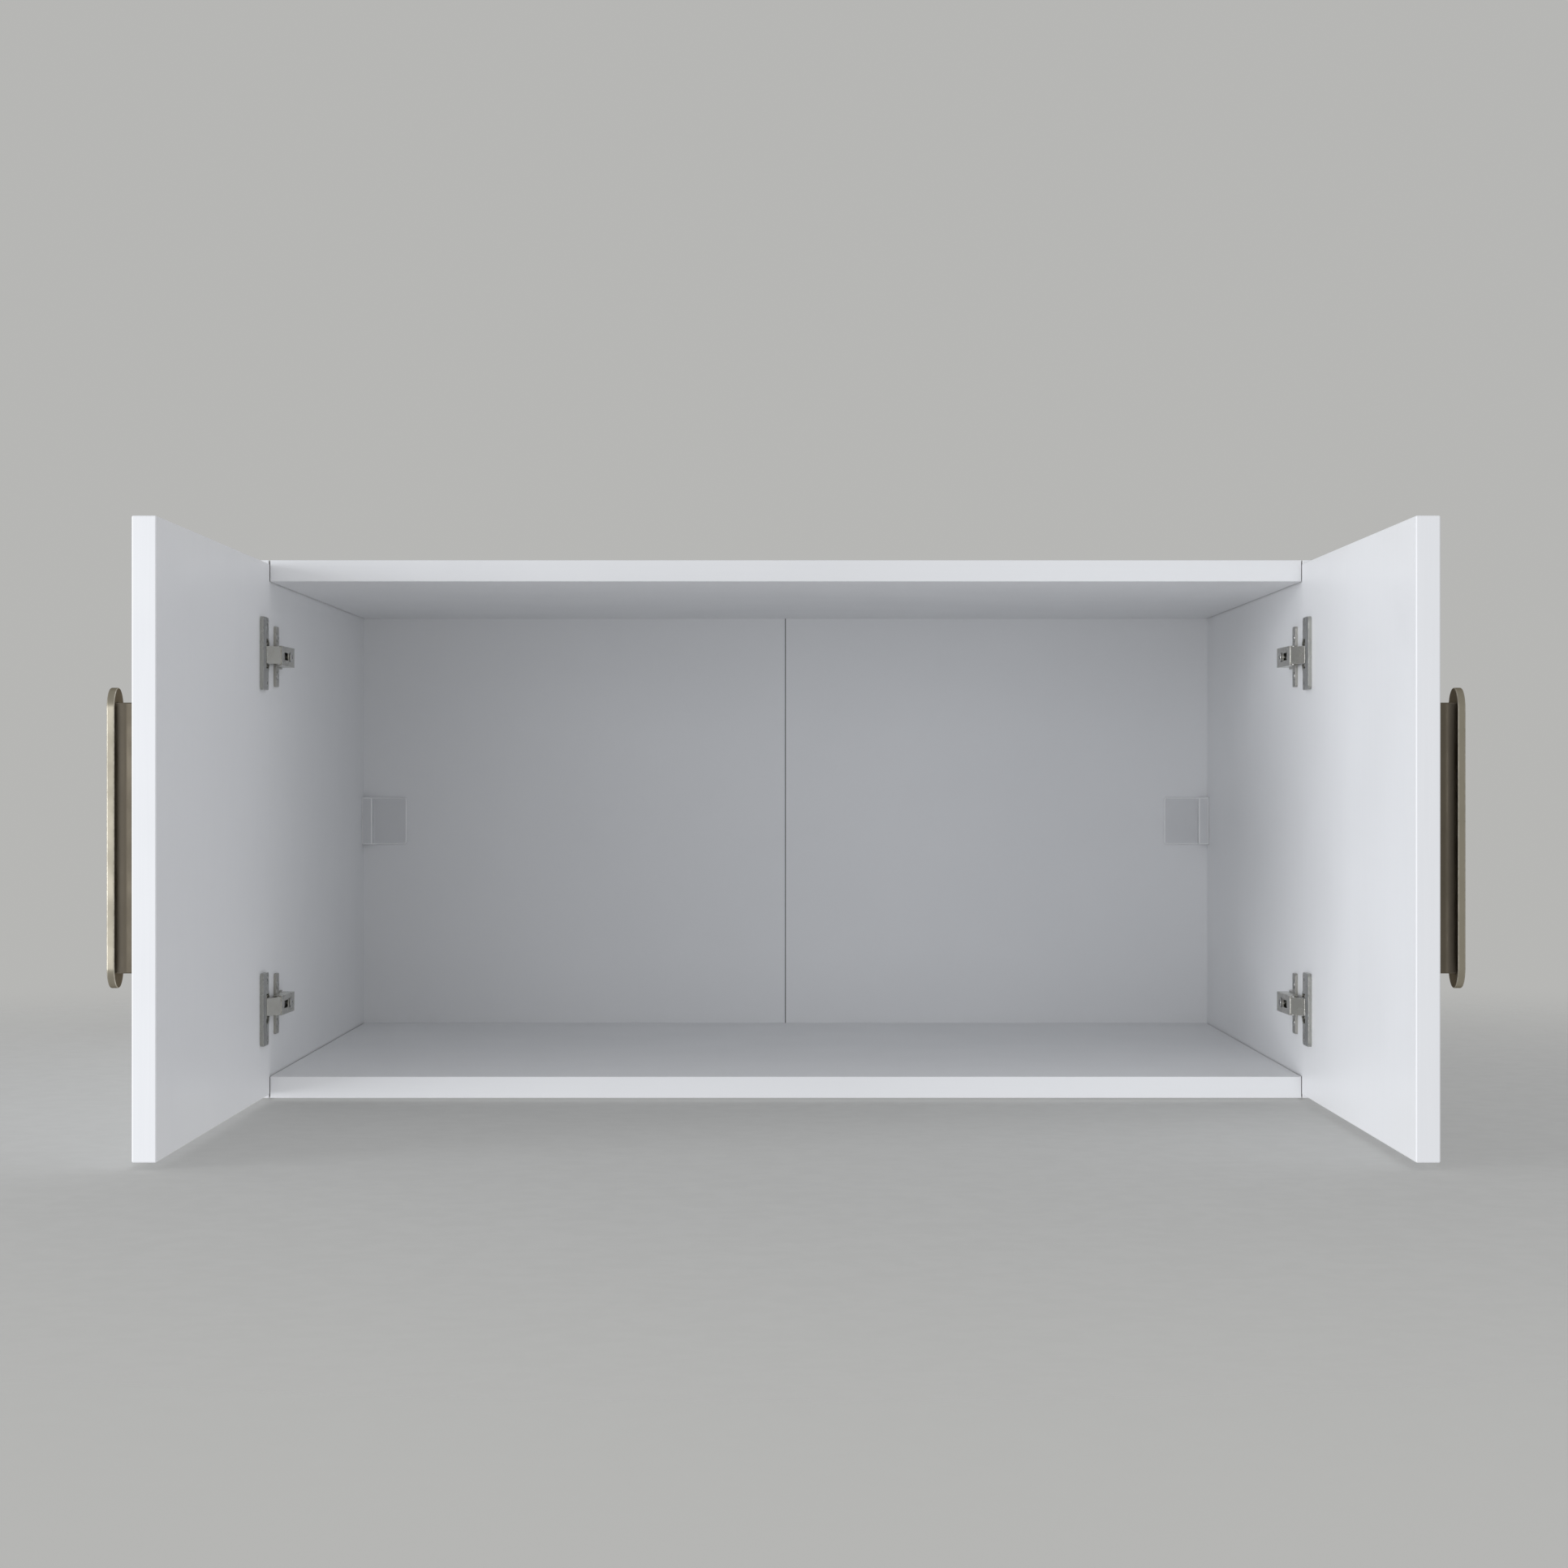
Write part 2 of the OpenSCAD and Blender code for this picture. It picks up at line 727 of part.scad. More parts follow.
module hinge_arm(side, level) {
    color(bright_steel)
        in_hinge_plane(side, hinge_z(level))
            difference() {
                union() {
                    difference() {
                        translate([0, 0, -arm_h / 2])
                            linear_extrude(arm_h)
                                arm_outline(0);
                        translate([0, 0, -arm_in_h / 2])
                            linear_extrude(arm_in_h)
                                union() {
                                    arm_outline(arm_t);
                                    translate([-over, -arm_rear_v + arm_t])
                                        square([plate_t + 1 + over, arm_rear_v - arm_t]);
                                }
                    }
                    translate([0, 0, -nose_h / 2])
                        linear_extrude(nose_h)
                            union() {
                                translate(arm_pin)
                                    circle(r = nose_r);
                                polygon([
                                    [arm_pin_u - nose_r, arm_pin_v],
                                    [arm_pin_u + nose_r, arm_pin_v],
                                    [arm_front_u - arm_t / 2, -arm_front_v - arm_t],
                                    [arm_front_u - arm_t / 2, -nose_back],
                                    [arm_pin_u - nose_r, -nose_back]
                                ]);
                            }
                }
                translate([arm_pin_u, arm_pin_v, -arm_h / 2])
                    cylinder(r = pin_r, h = arm_h);
                translate([0, -clamp_v, 0])
                    rod_x(arm_screw_r, arm_rear_u + over);
                translate([boss_u, -adjust_v, 0])
                    rotate([0, 90, 0])
                        linear_extrude(arm_rear_u)
                            stadium(slot_w, slot_l);
            }
}

module clamping_screws(side) {
    seat = arm_face(clamp_v + clamp_head_r);
    color(steel)
        at_hinges(side)
            translate([seat, -clamp_v, 0])
                screw(clamp_head_r, clamp_head_t, arm_screw_r, seat - over);
}

module adjusting_screws(side) {
    color(steel)
        at_hinges(side)
            translate([boss_u, -adjust_v, 0])
                screw(adjust_head_r, adjust_head_t, arm_screw_r, boss_u - over);
}

module arm_pins(side) {
    color(bright_steel)
        at_hinges(side)
            translate([arm_pin_u, arm_pin_v, -link_h / 2 - pin_proud])
                cylinder(r = pin_r, h = link_h + 2 * pin_proud);
}

// Side view of a link ear: x runs from the arm pin to the cup pin and y towards the web
module link_ear() {
    circle(r = link_eye_r);
    translate([link_l, 0])
        circle(r = cup_eye_r);
    polygon([
        [-link_eye_r * 0.9, link_eye_r * 0.3],
        [link_start, link_rise],
        [link_l + link_end, link_rise],
        [link_l + cup_eye_r * 0.97, cup_eye_r * 0.24],
        [link_l - cup_eye_r, cup_eye_r * 0.12],
        [link_l - neck_near, link_rise - neck_depth],
        [link_l - neck_far, link_rise - neck_depth],
        [link_eye_r * 0.6, -link_eye_r * 0.8]
    ]);
}

// Bent sheet link between the arm and the cup, two ears and a web
module hinge_link(side, level) {
    color(bright_steel)
        in_hinge_plane(side, hinge_z(level))
            translate(arm_pin)
                rotate([0, 0, link_angle])
                    mirror([0, 1, 0])
                        difference() {
                            union() {
                                for (z = [-link_h / 2, link_h / 2 - link_t])
                                    translate([0, 0, z])
                                        linear_extrude(link_t)
                                            link_ear();
                                translate([link_start, link_rise - link_t, -link_h / 2])
                                    cube([link_l + link_end - link_start, link_t, link_h]);
                            }
                            for (x = [0, link_l])
                                translate([x, 0, -link_h])
                                    cylinder(r = pin_r + pin_clear, h = 2 * link_h);
                        }
}

// Door board with its bores, drawn open at a right angle
module door(side) {
    color(white)
        in_hinge_plane(side, 0)
            difference() {
                translate([door_out_u, open_out, -door_h / 2])
                    cube([door_t, door_w, door_h]);
                for (level = [-1, 1]) {
                    translate([open_in - cup_depth - bore_clear, cup_v, hinge_z(level)])
                        rod_x(cup_r + cup_clear, cup_depth + bore_clear + over);
                    for (dz = [-0.5, 0.5])
                        translate([open_in - wood_screw_l, cup_screw_v,
                            hinge_z(level) + dz * cup_screw_pitch])
                            rod_x(wood_screw_r, wood_screw_l + over);
                }
                for (dz = [-0.5, 0.5]) {
                    translate([door_out_u - over, handle_v, dz * handle_pitch])
                        rod_x(handle_screw_r + handle_screw_clear, door_t + 2 * over);
                    translate([head_seat_u, handle_v, dz * handle_pitch])
                        rod_x(cap_r, cap_t + handle_head_t + over);
                }
            }
}

// Cup with its rim, screw flange and the two cheeks that hold the cup pin
module hinge_cup(side, level) {
    flange_w = flange_back + flange_ahead;
    flange_v = cup_screw_v - flange_back;
    color(bright_steel)
        in_hinge_plane(side, hinge_z(level))
            translate([open_in, 0, 0])
                difference() {
                    union() {
                        difference() {
                            union() {
                                translate([-cup_depth, cup_v, 0])
                                    rod_x(cup_r, cup_depth);
                                translate([0, cup_v, 0])
                                    rod_x(cup_r + rim_w, rim_t);
                                translate([0, flange_v + flange_w / 2, 0])
                                    rotate([0, 90, 0])
                                        linear_extrude(flange_t)
                                            rounded_rect(flange_h, flange_w, flange_corner);
                            }
                            translate([-cup_depth + cup_wall, cup_v, 0])
                                rod_x(cup_in_r, cup_depth - cup_wall);
                            intersection() {
                                translate([-over, cup_v, 0])
                                    rod_x(cup_in_r, rim_t + 2 * over);
                                translate([-over, cup_v - cup_r, -cup_r])
                                    cube([rim_t + 2 * over, flange_v - cup_v + cup_r, 2 * cup_r]);
                            }
                            translate([-over, flange_v - over, -mouth_h / 2])
                                cube([flange_t + 2 * over, cup_v + mouth_ahead - flange_v + over,
                                    mouth_h]);
                            translate([0, cup_v - cup_r - rim_w - over, -notch_h / 2])
                                cube([rim_t + over, cup_r, notch_h]);
                            translate([-notch_depth, cup_v - cup_r - over, -notch_h / 2])
                                cube([notch_depth + over, cup_r / 2, notch_h]);
                        }
                        intersection() {
                            translate([-cup_depth, cup_v, 0])
                                rod_x(cup_in_r + cup_wall / 2, cup_depth - link_gap);
                            for (level_z = [-1, 1])
                                translate([-cup_depth, cup_v - cup_r,
                                    level_z * (cheek_z + cheek_t / 2) - cheek_t / 2])
                                    cube([cup_depth, cup_pin[1] - cup_v + cup_r + 3 * pin_r, cheek_t]);
                        }
                    }
                    translate([cup_pin[0] - open_in, cup_pin[1], -cheek_z - cheek_t - over])
                        cylinder(r = pin_r, h = 2 * (cheek_z + cheek_t + over));
                    for (dz = [-0.5, 0.5])
                        translate([0, cup_screw_v, dz * cup_screw_pitch]) {
                            translate([-over, 0, 0])
                                rod_x(wood_screw_r, flange_t + 2 * over);
                            translate([flange_t - wood_head_t, 0, 0])
                                rod_x(wood_head_r, wood_head_t + over);
                        }
                }
}

module cup_pins(side) {
    color(bright_steel)
        at_hinges(side)
            translate([cup_pin[0], cup_pin[1], -cheek_z - cheek_t])
                cylinder(r = pin_r, h = 2 * (cheek_z + cheek_t));
}

module cup_screws(side) {
    color(steel)
        at_hinges(side)
            for (dz = [-0.5, 0.5])
                translate([open_in + flange_t - wood_head_t, cup_screw_v, dz * cup_screw_pitch])
                    screw(wood_head_r, wood_head_t, wood_screw_r,
                        wood_screw_l + flange_t - wood_head_t);
}

// Pull with a round-ended grip plate on a stem whose flanks are hollow
module handle(side) {
    stem_wide = stem_w + 2 * stem_blend;
    color(champagne)
        in_hinge_plane(side, 0)
            translate([door_out_u, handle_v, 0])
                difference() {
                    union() {
                        translate([-grip_off - grip_t, 0, 0])
                            rotate([0, 90, 0])
                                linear_extrude(grip_t)
                                    rotate([0, 0, 90])
                                        stadium(grip_w, grip_l);
                        translate([0, 0, -stem_l / 2])
                            linear_extrude(stem_l)
                                difference() {
                                    union() {
                                        translate([-grip_off, -stem_w / 2])
                                            square([grip_off, stem_w]);
                                        translate([-grip_off, -stem_wide / 2])
                                            square([stem_blend, stem_wide]);
                                    }
                                    for (flank = [-1, 1])
                                        translate([-grip_off + stem_blend,
                                            flank * stem_wide / 2])
                                            circle(r = stem_blend);
                                }
                    }
                    for (dz = [-0.5, 0.5])
                        translate([-handle_screw_in, 0, dz * handle_pitch])
                            rod_x(handle_screw_r, handle_screw_in + over);
                }
}

module handle_screws(side) {
    color(steel)
        in_hinge_plane(side, 0)
            for (dz = [-0.5, 0.5])
                translate([head_seat_u, handle_v, dz * handle_pitch])
                    screw(handle_head_r, handle_head_t, handle_screw_r,
                        head_seat_u - door_out_u + handle_screw_in);
}

// Caps flush with the door's inner face, over the heads of the handle screws
module handle_screw_caps(side) {
    color(white_plastic)
        in_hinge_plane(side, 0)
            for (dz = [-0.5, 0.5])
                translate([open_in - cap_t, handle_v, dz * handle_pitch])
                    rod_x(cap_r, cap_t);
}

side_panel(-1);  // side_panel_left
side_panel(1);  // side_panel_right
cross_panel(1);  // top_panel
cross_panel(-1);  // bottom_panel
back_leaf(-1);  // back_leaf_left
back_leaf(1);  // back_leaf_right
back_seam_tape();
back_nails();
cam_locks();
cam_bolts();
wooden_dowels();
wall_bracket(-1);  // wall_bracket_left
wall_bracket(1);  // wall_bracket_right
bracket_cover(-1);  // bracket_cover_left
bracket_cover(1);  // bracket_cover_right
bracket_screws();
mounting_plate(-1, 1);  // mounting_plate_left_upper
mounting_plate(-1, -1);  // mounting_plate_left_lower
mounting_plate(1, 1);  // mounting_plate_right_upper
mounting_plate(1, -1);  // mounting_plate_right_lower
hinge_arm(-1, 1);  // hinge_arm_left_upper
hinge_arm(-1, -1);  // hinge_arm_left_lower
hinge_arm(1, 1);  // hinge_arm_right_upper
hinge_arm(1, -1);  // hinge_arm_right_lower
plate_screws(-1);  // plate_screws_left
plate_screws(1);  // plate_screws_right
clamping_screws(-1);  // clamping_screws_left
clamping_screws(1);  // clamping_screws_right
adjusting_screws(-1);  // adjusting_screws_left
adjusting_screws(1);  // adjusting_screws_right
arm_pins(-1);  // arm_pins_left
arm_pins(1);  // arm_pins_right
hinge_link(-1, 1);  // hinge_link_left_upper
hinge_link(-1, -1);  // hinge_link_left_lower
hinge_link(1, 1);  // hinge_link_right_upper
hinge_link(1, -1);  // hinge_link_right_lower
door(-1);  // door_left
door(1);  // door_right
hinge_cup(-1, 1);  // hinge_cup_left_upper
hinge_cup(-1, -1);  // hinge_cup_left_lower
hinge_cup(1, 1);  // hinge_cup_right_upper
hinge_cup(1, -1);  // hinge_cup_right_lower
cup_pins(-1);  // cup_pins_left
cup_pins(1);  // cup_pins_right
cup_screws(-1);  // cup_screws_left
cup_screws(1);  // cup_screws_right
handle(-1);  // handle_left
handle(1);  // handle_right
handle_screws(-1);  // handle_screws_left
handle_screws(1);  // handle_screws_right
handle_screw_caps(-1);  // handle_screw_caps_left
handle_screw_caps(1);  // handle_screw_caps_right
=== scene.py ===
# A wall cabinet in white board with two doors, shown with both doors open at a right angle.
import math

import bmesh
import bpy
from mathutils import Euler, Matrix, Vector


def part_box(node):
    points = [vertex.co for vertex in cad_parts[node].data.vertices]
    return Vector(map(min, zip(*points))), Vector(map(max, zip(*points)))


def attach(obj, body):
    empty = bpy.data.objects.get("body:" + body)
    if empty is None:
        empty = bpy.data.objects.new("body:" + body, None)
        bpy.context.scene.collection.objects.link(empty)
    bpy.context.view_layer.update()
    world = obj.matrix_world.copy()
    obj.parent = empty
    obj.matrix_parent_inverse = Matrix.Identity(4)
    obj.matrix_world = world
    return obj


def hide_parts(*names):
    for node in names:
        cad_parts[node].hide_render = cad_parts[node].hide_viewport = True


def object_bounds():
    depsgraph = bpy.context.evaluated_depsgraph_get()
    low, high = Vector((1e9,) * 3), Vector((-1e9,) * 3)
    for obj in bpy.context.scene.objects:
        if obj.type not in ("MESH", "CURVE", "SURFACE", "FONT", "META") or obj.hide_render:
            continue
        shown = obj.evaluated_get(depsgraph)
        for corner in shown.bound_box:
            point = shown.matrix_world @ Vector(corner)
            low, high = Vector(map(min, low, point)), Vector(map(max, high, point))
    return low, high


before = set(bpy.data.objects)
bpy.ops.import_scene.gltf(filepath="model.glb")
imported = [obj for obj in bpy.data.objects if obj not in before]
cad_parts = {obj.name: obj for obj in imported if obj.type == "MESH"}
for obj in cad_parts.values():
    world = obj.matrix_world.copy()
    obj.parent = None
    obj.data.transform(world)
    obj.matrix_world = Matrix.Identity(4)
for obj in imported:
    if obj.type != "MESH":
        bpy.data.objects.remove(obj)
cad_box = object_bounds()

# Carcass boards
# Four 18 mm boards of white coated chipboard. The saw-cut edges carry a white edge band that is
# rounded over by hand, and the top and bottom stand between the sides, drawn tight by cams.

MM = 0.001
MERGE = 0.002 * MM          # corners closer than this are one corner
ON_FACE = 0.01 * MM         # a corner this near to a face lies on it
FLAT_ANGLE = math.radians(0.4)      # faces turned less than this belong to one flat
CREASE_ANGLE = math.radians(34.0)   # edges sharper than this stay crisp in shading
BAND_ROUND = 1.0 * MM       # rounding of the banded edges
JOINT_GAP = 0.8 * MM        # what the top and bottom stay short of each side board
BOARD_WHITE = (0.892, 0.899, 0.910)
BOARD_WHITE_DEEP = (0.876, 0.884, 0.896)
BOARD_ROUGHNESS = (0.36, 0.50)
BOARD_GRAIN = 0.45          # how strongly the pressed grain shows
RAW_END = (0.115, 0.080, 0.050)     # the sawn chipboard at the ends of the top and bottom
RAW_END_DARK = (0.045, 0.030, 0.020)


def add(nodes, kind, **settings):
    """One shader or geometry node with its settings and its sockets' own values."""
    node = nodes.new(kind)
    for key, value in settings.items():
        if key.startswith("in_"):
            node.inputs[key[3:].replace("_", " ")].default_value = value
        else:
            setattr(node, key, value)
    return node


def group_with(name, kind, sockets_in, sockets_out):
    """An empty node group with named inputs and outputs, and its two end nodes."""
    group = bpy.data.node_groups.new(name, kind)
    for socket_name, socket_type, value in sockets_in:
        socket = group.interface.new_socket(socket_name, in_out="INPUT", socket_type=socket_type)
        if value is not None:
            socket.default_value = value
    for socket_name, socket_type in sockets_out:
        group.interface.new_socket(socket_name, in_out="OUTPUT", socket_type=socket_type)
    return group, group.nodes.new("NodeGroupInput"), group.nodes.new("NodeGroupOutput")


def coat_skin_group():
    """Sprayed or pressed white coat: the fine peel of the surface and its cloudy sheen."""
    group, inp, out = group_with(
        "Coat skin", "ShaderNodeTree",
        [("Vector", "NodeSocketVector", None), ("Peel Scale", "NodeSocketFloat", 700.0),
         ("Cloud Scale", "NodeSocketFloat", 9.0)],
        [("Peel", "NodeSocketFloat"), ("Cloud", "NodeSocketFloat")])
    peel = add(group.nodes, "ShaderNodeTexNoise", in_Detail=2.0, in_Roughness=0.45)
    cloud = add(group.nodes, "ShaderNodeTexNoise", in_Detail=3.0, in_Roughness=0.5)
    for noise, scale in ((peel, "Peel Scale"), (cloud, "Cloud Scale")):
        group.links.new(inp.outputs["Vector"], noise.inputs["Vector"])
        group.links.new(inp.outputs[scale], noise.inputs["Scale"])
    group.links.new(peel.outputs["Fac"], out.inputs["Peel"])
    group.links.new(cloud.outputs["Fac"], out.inputs["Cloud"])
    return group


def fine_grain_group():
    """Long fine streaks along one axis, as pressed into coated board or left by a brush."""
    group, inp, out = group_with(
        "Fine grain", "ShaderNodeTree",
        [("Vector", "NodeSocketVector", None),
         ("Streaks", "NodeSocketVector", (900.0, 900.0, 14.0))],
        [("Grain", "NodeSocketFloat")])
    stretch = add(group.nodes, "ShaderNodeVectorMath", operation="MULTIPLY")
    streaks = add(group.nodes, "ShaderNodeTexNoise", in_Scale=1.0, in_Detail=3.0, in_Roughness=0.6)
    group.links.new(inp.outputs["Vector"], stretch.inputs[0])
    group.links.new(inp.outputs["Streaks"], stretch.inputs[1])
    group.links.new(stretch.outputs[0], streaks.inputs["Vector"])
    group.links.new(streaks.outputs["Fac"], out.inputs["Grain"])
    return group


COAT_SKIN = coat_skin_group()
FINE_GRAIN = fine_grain_group()


def use_group(nodes, group, **inputs):
    """A shader node group placed in a material, with its values."""
    node = nodes.new("ShaderNodeGroup")
    node.node_tree = group
    for key, value in inputs.items():
        node.inputs[key.replace("_", " ")].default_value = value
    return node


def new_finish(name):
    """An empty material with its Principled shader and an Object coordinate."""
    material = bpy.data.materials.new(name)
    material.use_nodes = True
    nodes = material.node_tree.nodes
    return material, nodes, material.node_tree.links, nodes["Principled BSDF"], \
        nodes.new("ShaderNodeTexCoord").outputs["Object"]


def between(nodes, links, factor, low, high):
    """A value that runs from low to high as the factor runs over the middle of a noise."""
    spread = add(nodes, "ShaderNodeMapRange", interpolation_type="SMOOTHSTEP")
    for socket, value in (("From Min", 0.3), ("From Max", 0.7), ("To Min", low), ("To Max", high)):
        spread.inputs[socket].default_value = value
    links.new(factor, spread.inputs["Value"])
    return spread.outputs["Result"]


def blend_colours(nodes, links, factor, first, second):
    """A colour between two, each a plain colour or another node's output."""
    mix = add(nodes, "ShaderNodeMix", data_type="RGBA")
    links.new(factor, mix.inputs["Factor"])
    for socket, colour in ((mix.inputs[6], first), (mix.inputs[7], second)):
        if isinstance(colour, tuple):
            socket.default_value = (*colour, 1.0)
        else:
            links.new(colour, socket)
    return mix.outputs[2]


def rough_height(nodes, links, shader, height, distance, strength, under=None):
    """A bump on the shader's normal, over another bump where there is one."""
    bump = add(nodes, "ShaderNodeBump", in_Strength=strength, in_Distance=distance)
    links.new(height, bump.inputs["Height"])
    if under:
        links.new(under.outputs["Normal"], bump.inputs["Normal"])
    links.new(bump.outputs["Normal"], shader.inputs["Normal"])
    return bump


def white_coat(name, light, deep, roughness, streaks, grain_share, raw_from=None):
    """White coated board. The streaks say which way its faint grain runs, and raw chipboard
    shows at its ends from a distance off the middle."""
    material, nodes, links, shader, place = new_finish(name)
    skin = use_group(nodes, COAT_SKIN)
    grain = use_group(nodes, FINE_GRAIN, Streaks=streaks)
    for node in (skin, grain):
        links.new(place, node.inputs["Vector"])
    grain_mask = between(nodes, links, grain.outputs["Grain"], 0.0, grain_share)
    clouded = between(nodes, links, skin.outputs["Cloud"], 0.0, 0.45)
    mask = add(nodes, "ShaderNodeMath", operation="ADD", use_clamp=True)
    links.new(grain_mask, mask.inputs[0])
    links.new(clouded, mask.inputs[1])
    colour = blend_colours(nodes, links, mask.outputs[0], light, deep)
    if raw_from:
        chips = add(nodes, "ShaderNodeTexNoise", in_Scale=600.0, in_Detail=4.0, in_Roughness=0.7)
        axes = nodes.new("ShaderNodeSeparateXYZ")
        off_middle = add(nodes, "ShaderNodeMath", operation="ABSOLUTE")
        at_end = add(nodes, "ShaderNodeMath", operation="GREATER_THAN")
        at_end.inputs[1].default_value = raw_from
        links.new(place, chips.inputs["Vector"])
        links.new(place, axes.inputs[0])
        links.new(axes.outputs["X"], off_middle.inputs[0])
        links.new(off_middle.outputs[0], at_end.inputs[0])
        raw = blend_colours(nodes, links, between(nodes, links, chips.outputs["Fac"], 0.0, 1.0),
                            RAW_END, RAW_END_DARK)
        colour = blend_colours(nodes, links, at_end.outputs[0], colour, raw)
    links.new(colour, shader.inputs["Base Color"])
    links.new(between(nodes, links, skin.outputs["Cloud"], *roughness), shader.inputs["Roughness"])
    peel = rough_height(nodes, links, shader, skin.outputs["Peel"], 0.02 * MM, 0.35)
    rough_height(nodes, links, shader, grain.outputs["Grain"], 0.02 * MM, 0.35 * grain_share, peel)
    return material


def whole_faces(node):
    """A copy of a solid's mesh with its loose triangles joined and its flat faces whole."""
    shape = bmesh.new()
    shape.from_mesh(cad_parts[node].data)
    bmesh.ops.remove_doubles(shape, verts=shape.verts, dist=MERGE)
    bmesh.ops.dissolve_limit(shape, angle_limit=FLAT_ANGLE, verts=shape.verts, edges=shape.edges)
    bmesh.ops.recalc_face_normals(shape, faces=shape.faces)
    return shape


def box_edges(shape, low, high):
    """The straight edges that run along a box's own twelve edges, with the axis of each."""
    found = []
    for edge in shape.edges:
        pinned = [axis for axis in range(3)
                  if all(min(abs(v.co[axis] - low[axis]), abs(v.co[axis] - high[axis])) < ON_FACE
                         for v in edge.verts)
                  and abs(edge.verts[0].co[axis] - edge.verts[1].co[axis]) < ON_FACE]
        if len(pinned) == 2:
            found.append((edge, 3 - sum(pinned)))
    return found


def finished_piece(shape, name, material):
    """Turns a worked shape into an object whose flats stay flat and whose roundings are smooth."""
    for face in shape.faces:
        face.smooth = True
    for edge in shape.edges:
        if len(edge.link_faces) == 2 and edge.calc_face_angle() > CREASE_ANGLE:
            edge.smooth = False
    mesh = bpy.data.meshes.new(name)
    shape.to_mesh(mesh)
    shape.free()
    piece = bpy.data.objects.new(name, mesh)
    bpy.context.scene.collection.objects.link(piece)
    mesh.materials.append(material)
    shade = piece.modifiers.new("Flat faces stay flat", "WEIGHTED_NORMAL")
    shade.keep_sharp = True
    shade.weight = 80
    return piece


def stand_for(piece, node, body):
    """The piece takes the place of a solid and moves with its body."""
    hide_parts(node)
    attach(piece, body)


def banded_board(node, name, radius, axes, material, body, short=0.0):
    """A board whose outer edges along the given axes are rounded over, cut short at its ends."""
    low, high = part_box(node)
    shape = whole_faces(node)
    for vert in shape.verts:
        if short and abs(vert.co.x) > high[0] - ON_FACE:
            vert.co.x = math.copysign(high[0] - short, vert.co.x)
    high = [high[0] - short, high[1], high[2]]
    low = [low[0] + short, low[1], low[2]]
    edges = [edge for edge, along in box_edges(shape, low, high) if along in axes]
    bmesh.ops.bevel(shape, geom=edges, offset=radius, segments=3, profile=0.5, affect="EDGES",
                    clamp_overlap=False)
    stand_for(finished_piece(shape, name, material), node, body)


side_white = white_coat("side board white", BOARD_WHITE, BOARD_WHITE_DEEP, BOARD_ROUGHNESS,
                        (800.0, 800.0, 12.0), BOARD_GRAIN)
shelf_white = white_coat("top and bottom white", BOARD_WHITE, BOARD_WHITE_DEEP, BOARD_ROUGHNESS,
                         (12.0, 800.0, 800.0), BOARD_GRAIN,
                         raw_from=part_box("top_panel")[1][0] - JOINT_GAP - 5 * ON_FACE)
for side in ("left", "right"):
    banded_board(f"side_panel_{side}", f"side_board_{side}", BAND_ROUND, (0, 1, 2), side_white,
                 "carcass")
for level in ("top", "bottom"):
    banded_board(f"{level}_panel", f"{level}_board", BAND_ROUND, (0,), shelf_white, "carcass",
                 short=JOINT_GAP)

# Back leaves and tape
# Two leaves of 3 mm hardboard in the rebate behind the boards, coated white towards the inside
# and left raw and brown behind. A strip of matt film tape joins them over the seam, drawn near
# black as painted shade so that the seam reads dark.

BACK_FACE = 0.3 * MM        # depth of the raw face behind
BACK_WHITE = (0.884, 0.890, 0.902)
BACK_WHITE_DEEP = (0.870, 0.877, 0.890)
BACK_ROUGHNESS = 0.46
RAW_BROWN = (0.285, 0.170, 0.090)
RAW_BROWN_DARK = (0.165, 0.092, 0.045)
RAW_FLECK = (0.420, 0.280, 0.160)
RAW_ROUGHNESS = 0.86
FLECK_SHARE = 0.17          # size of the flecks within their cells
# The tape is drawn near black: painted shade for the seam between the leaves.
TAPE_SEAM_SHADE = (0.070, 0.058, 0.047)
TAPE_SEAM_SHADE_DEEP = (0.052, 0.043, 0.035)


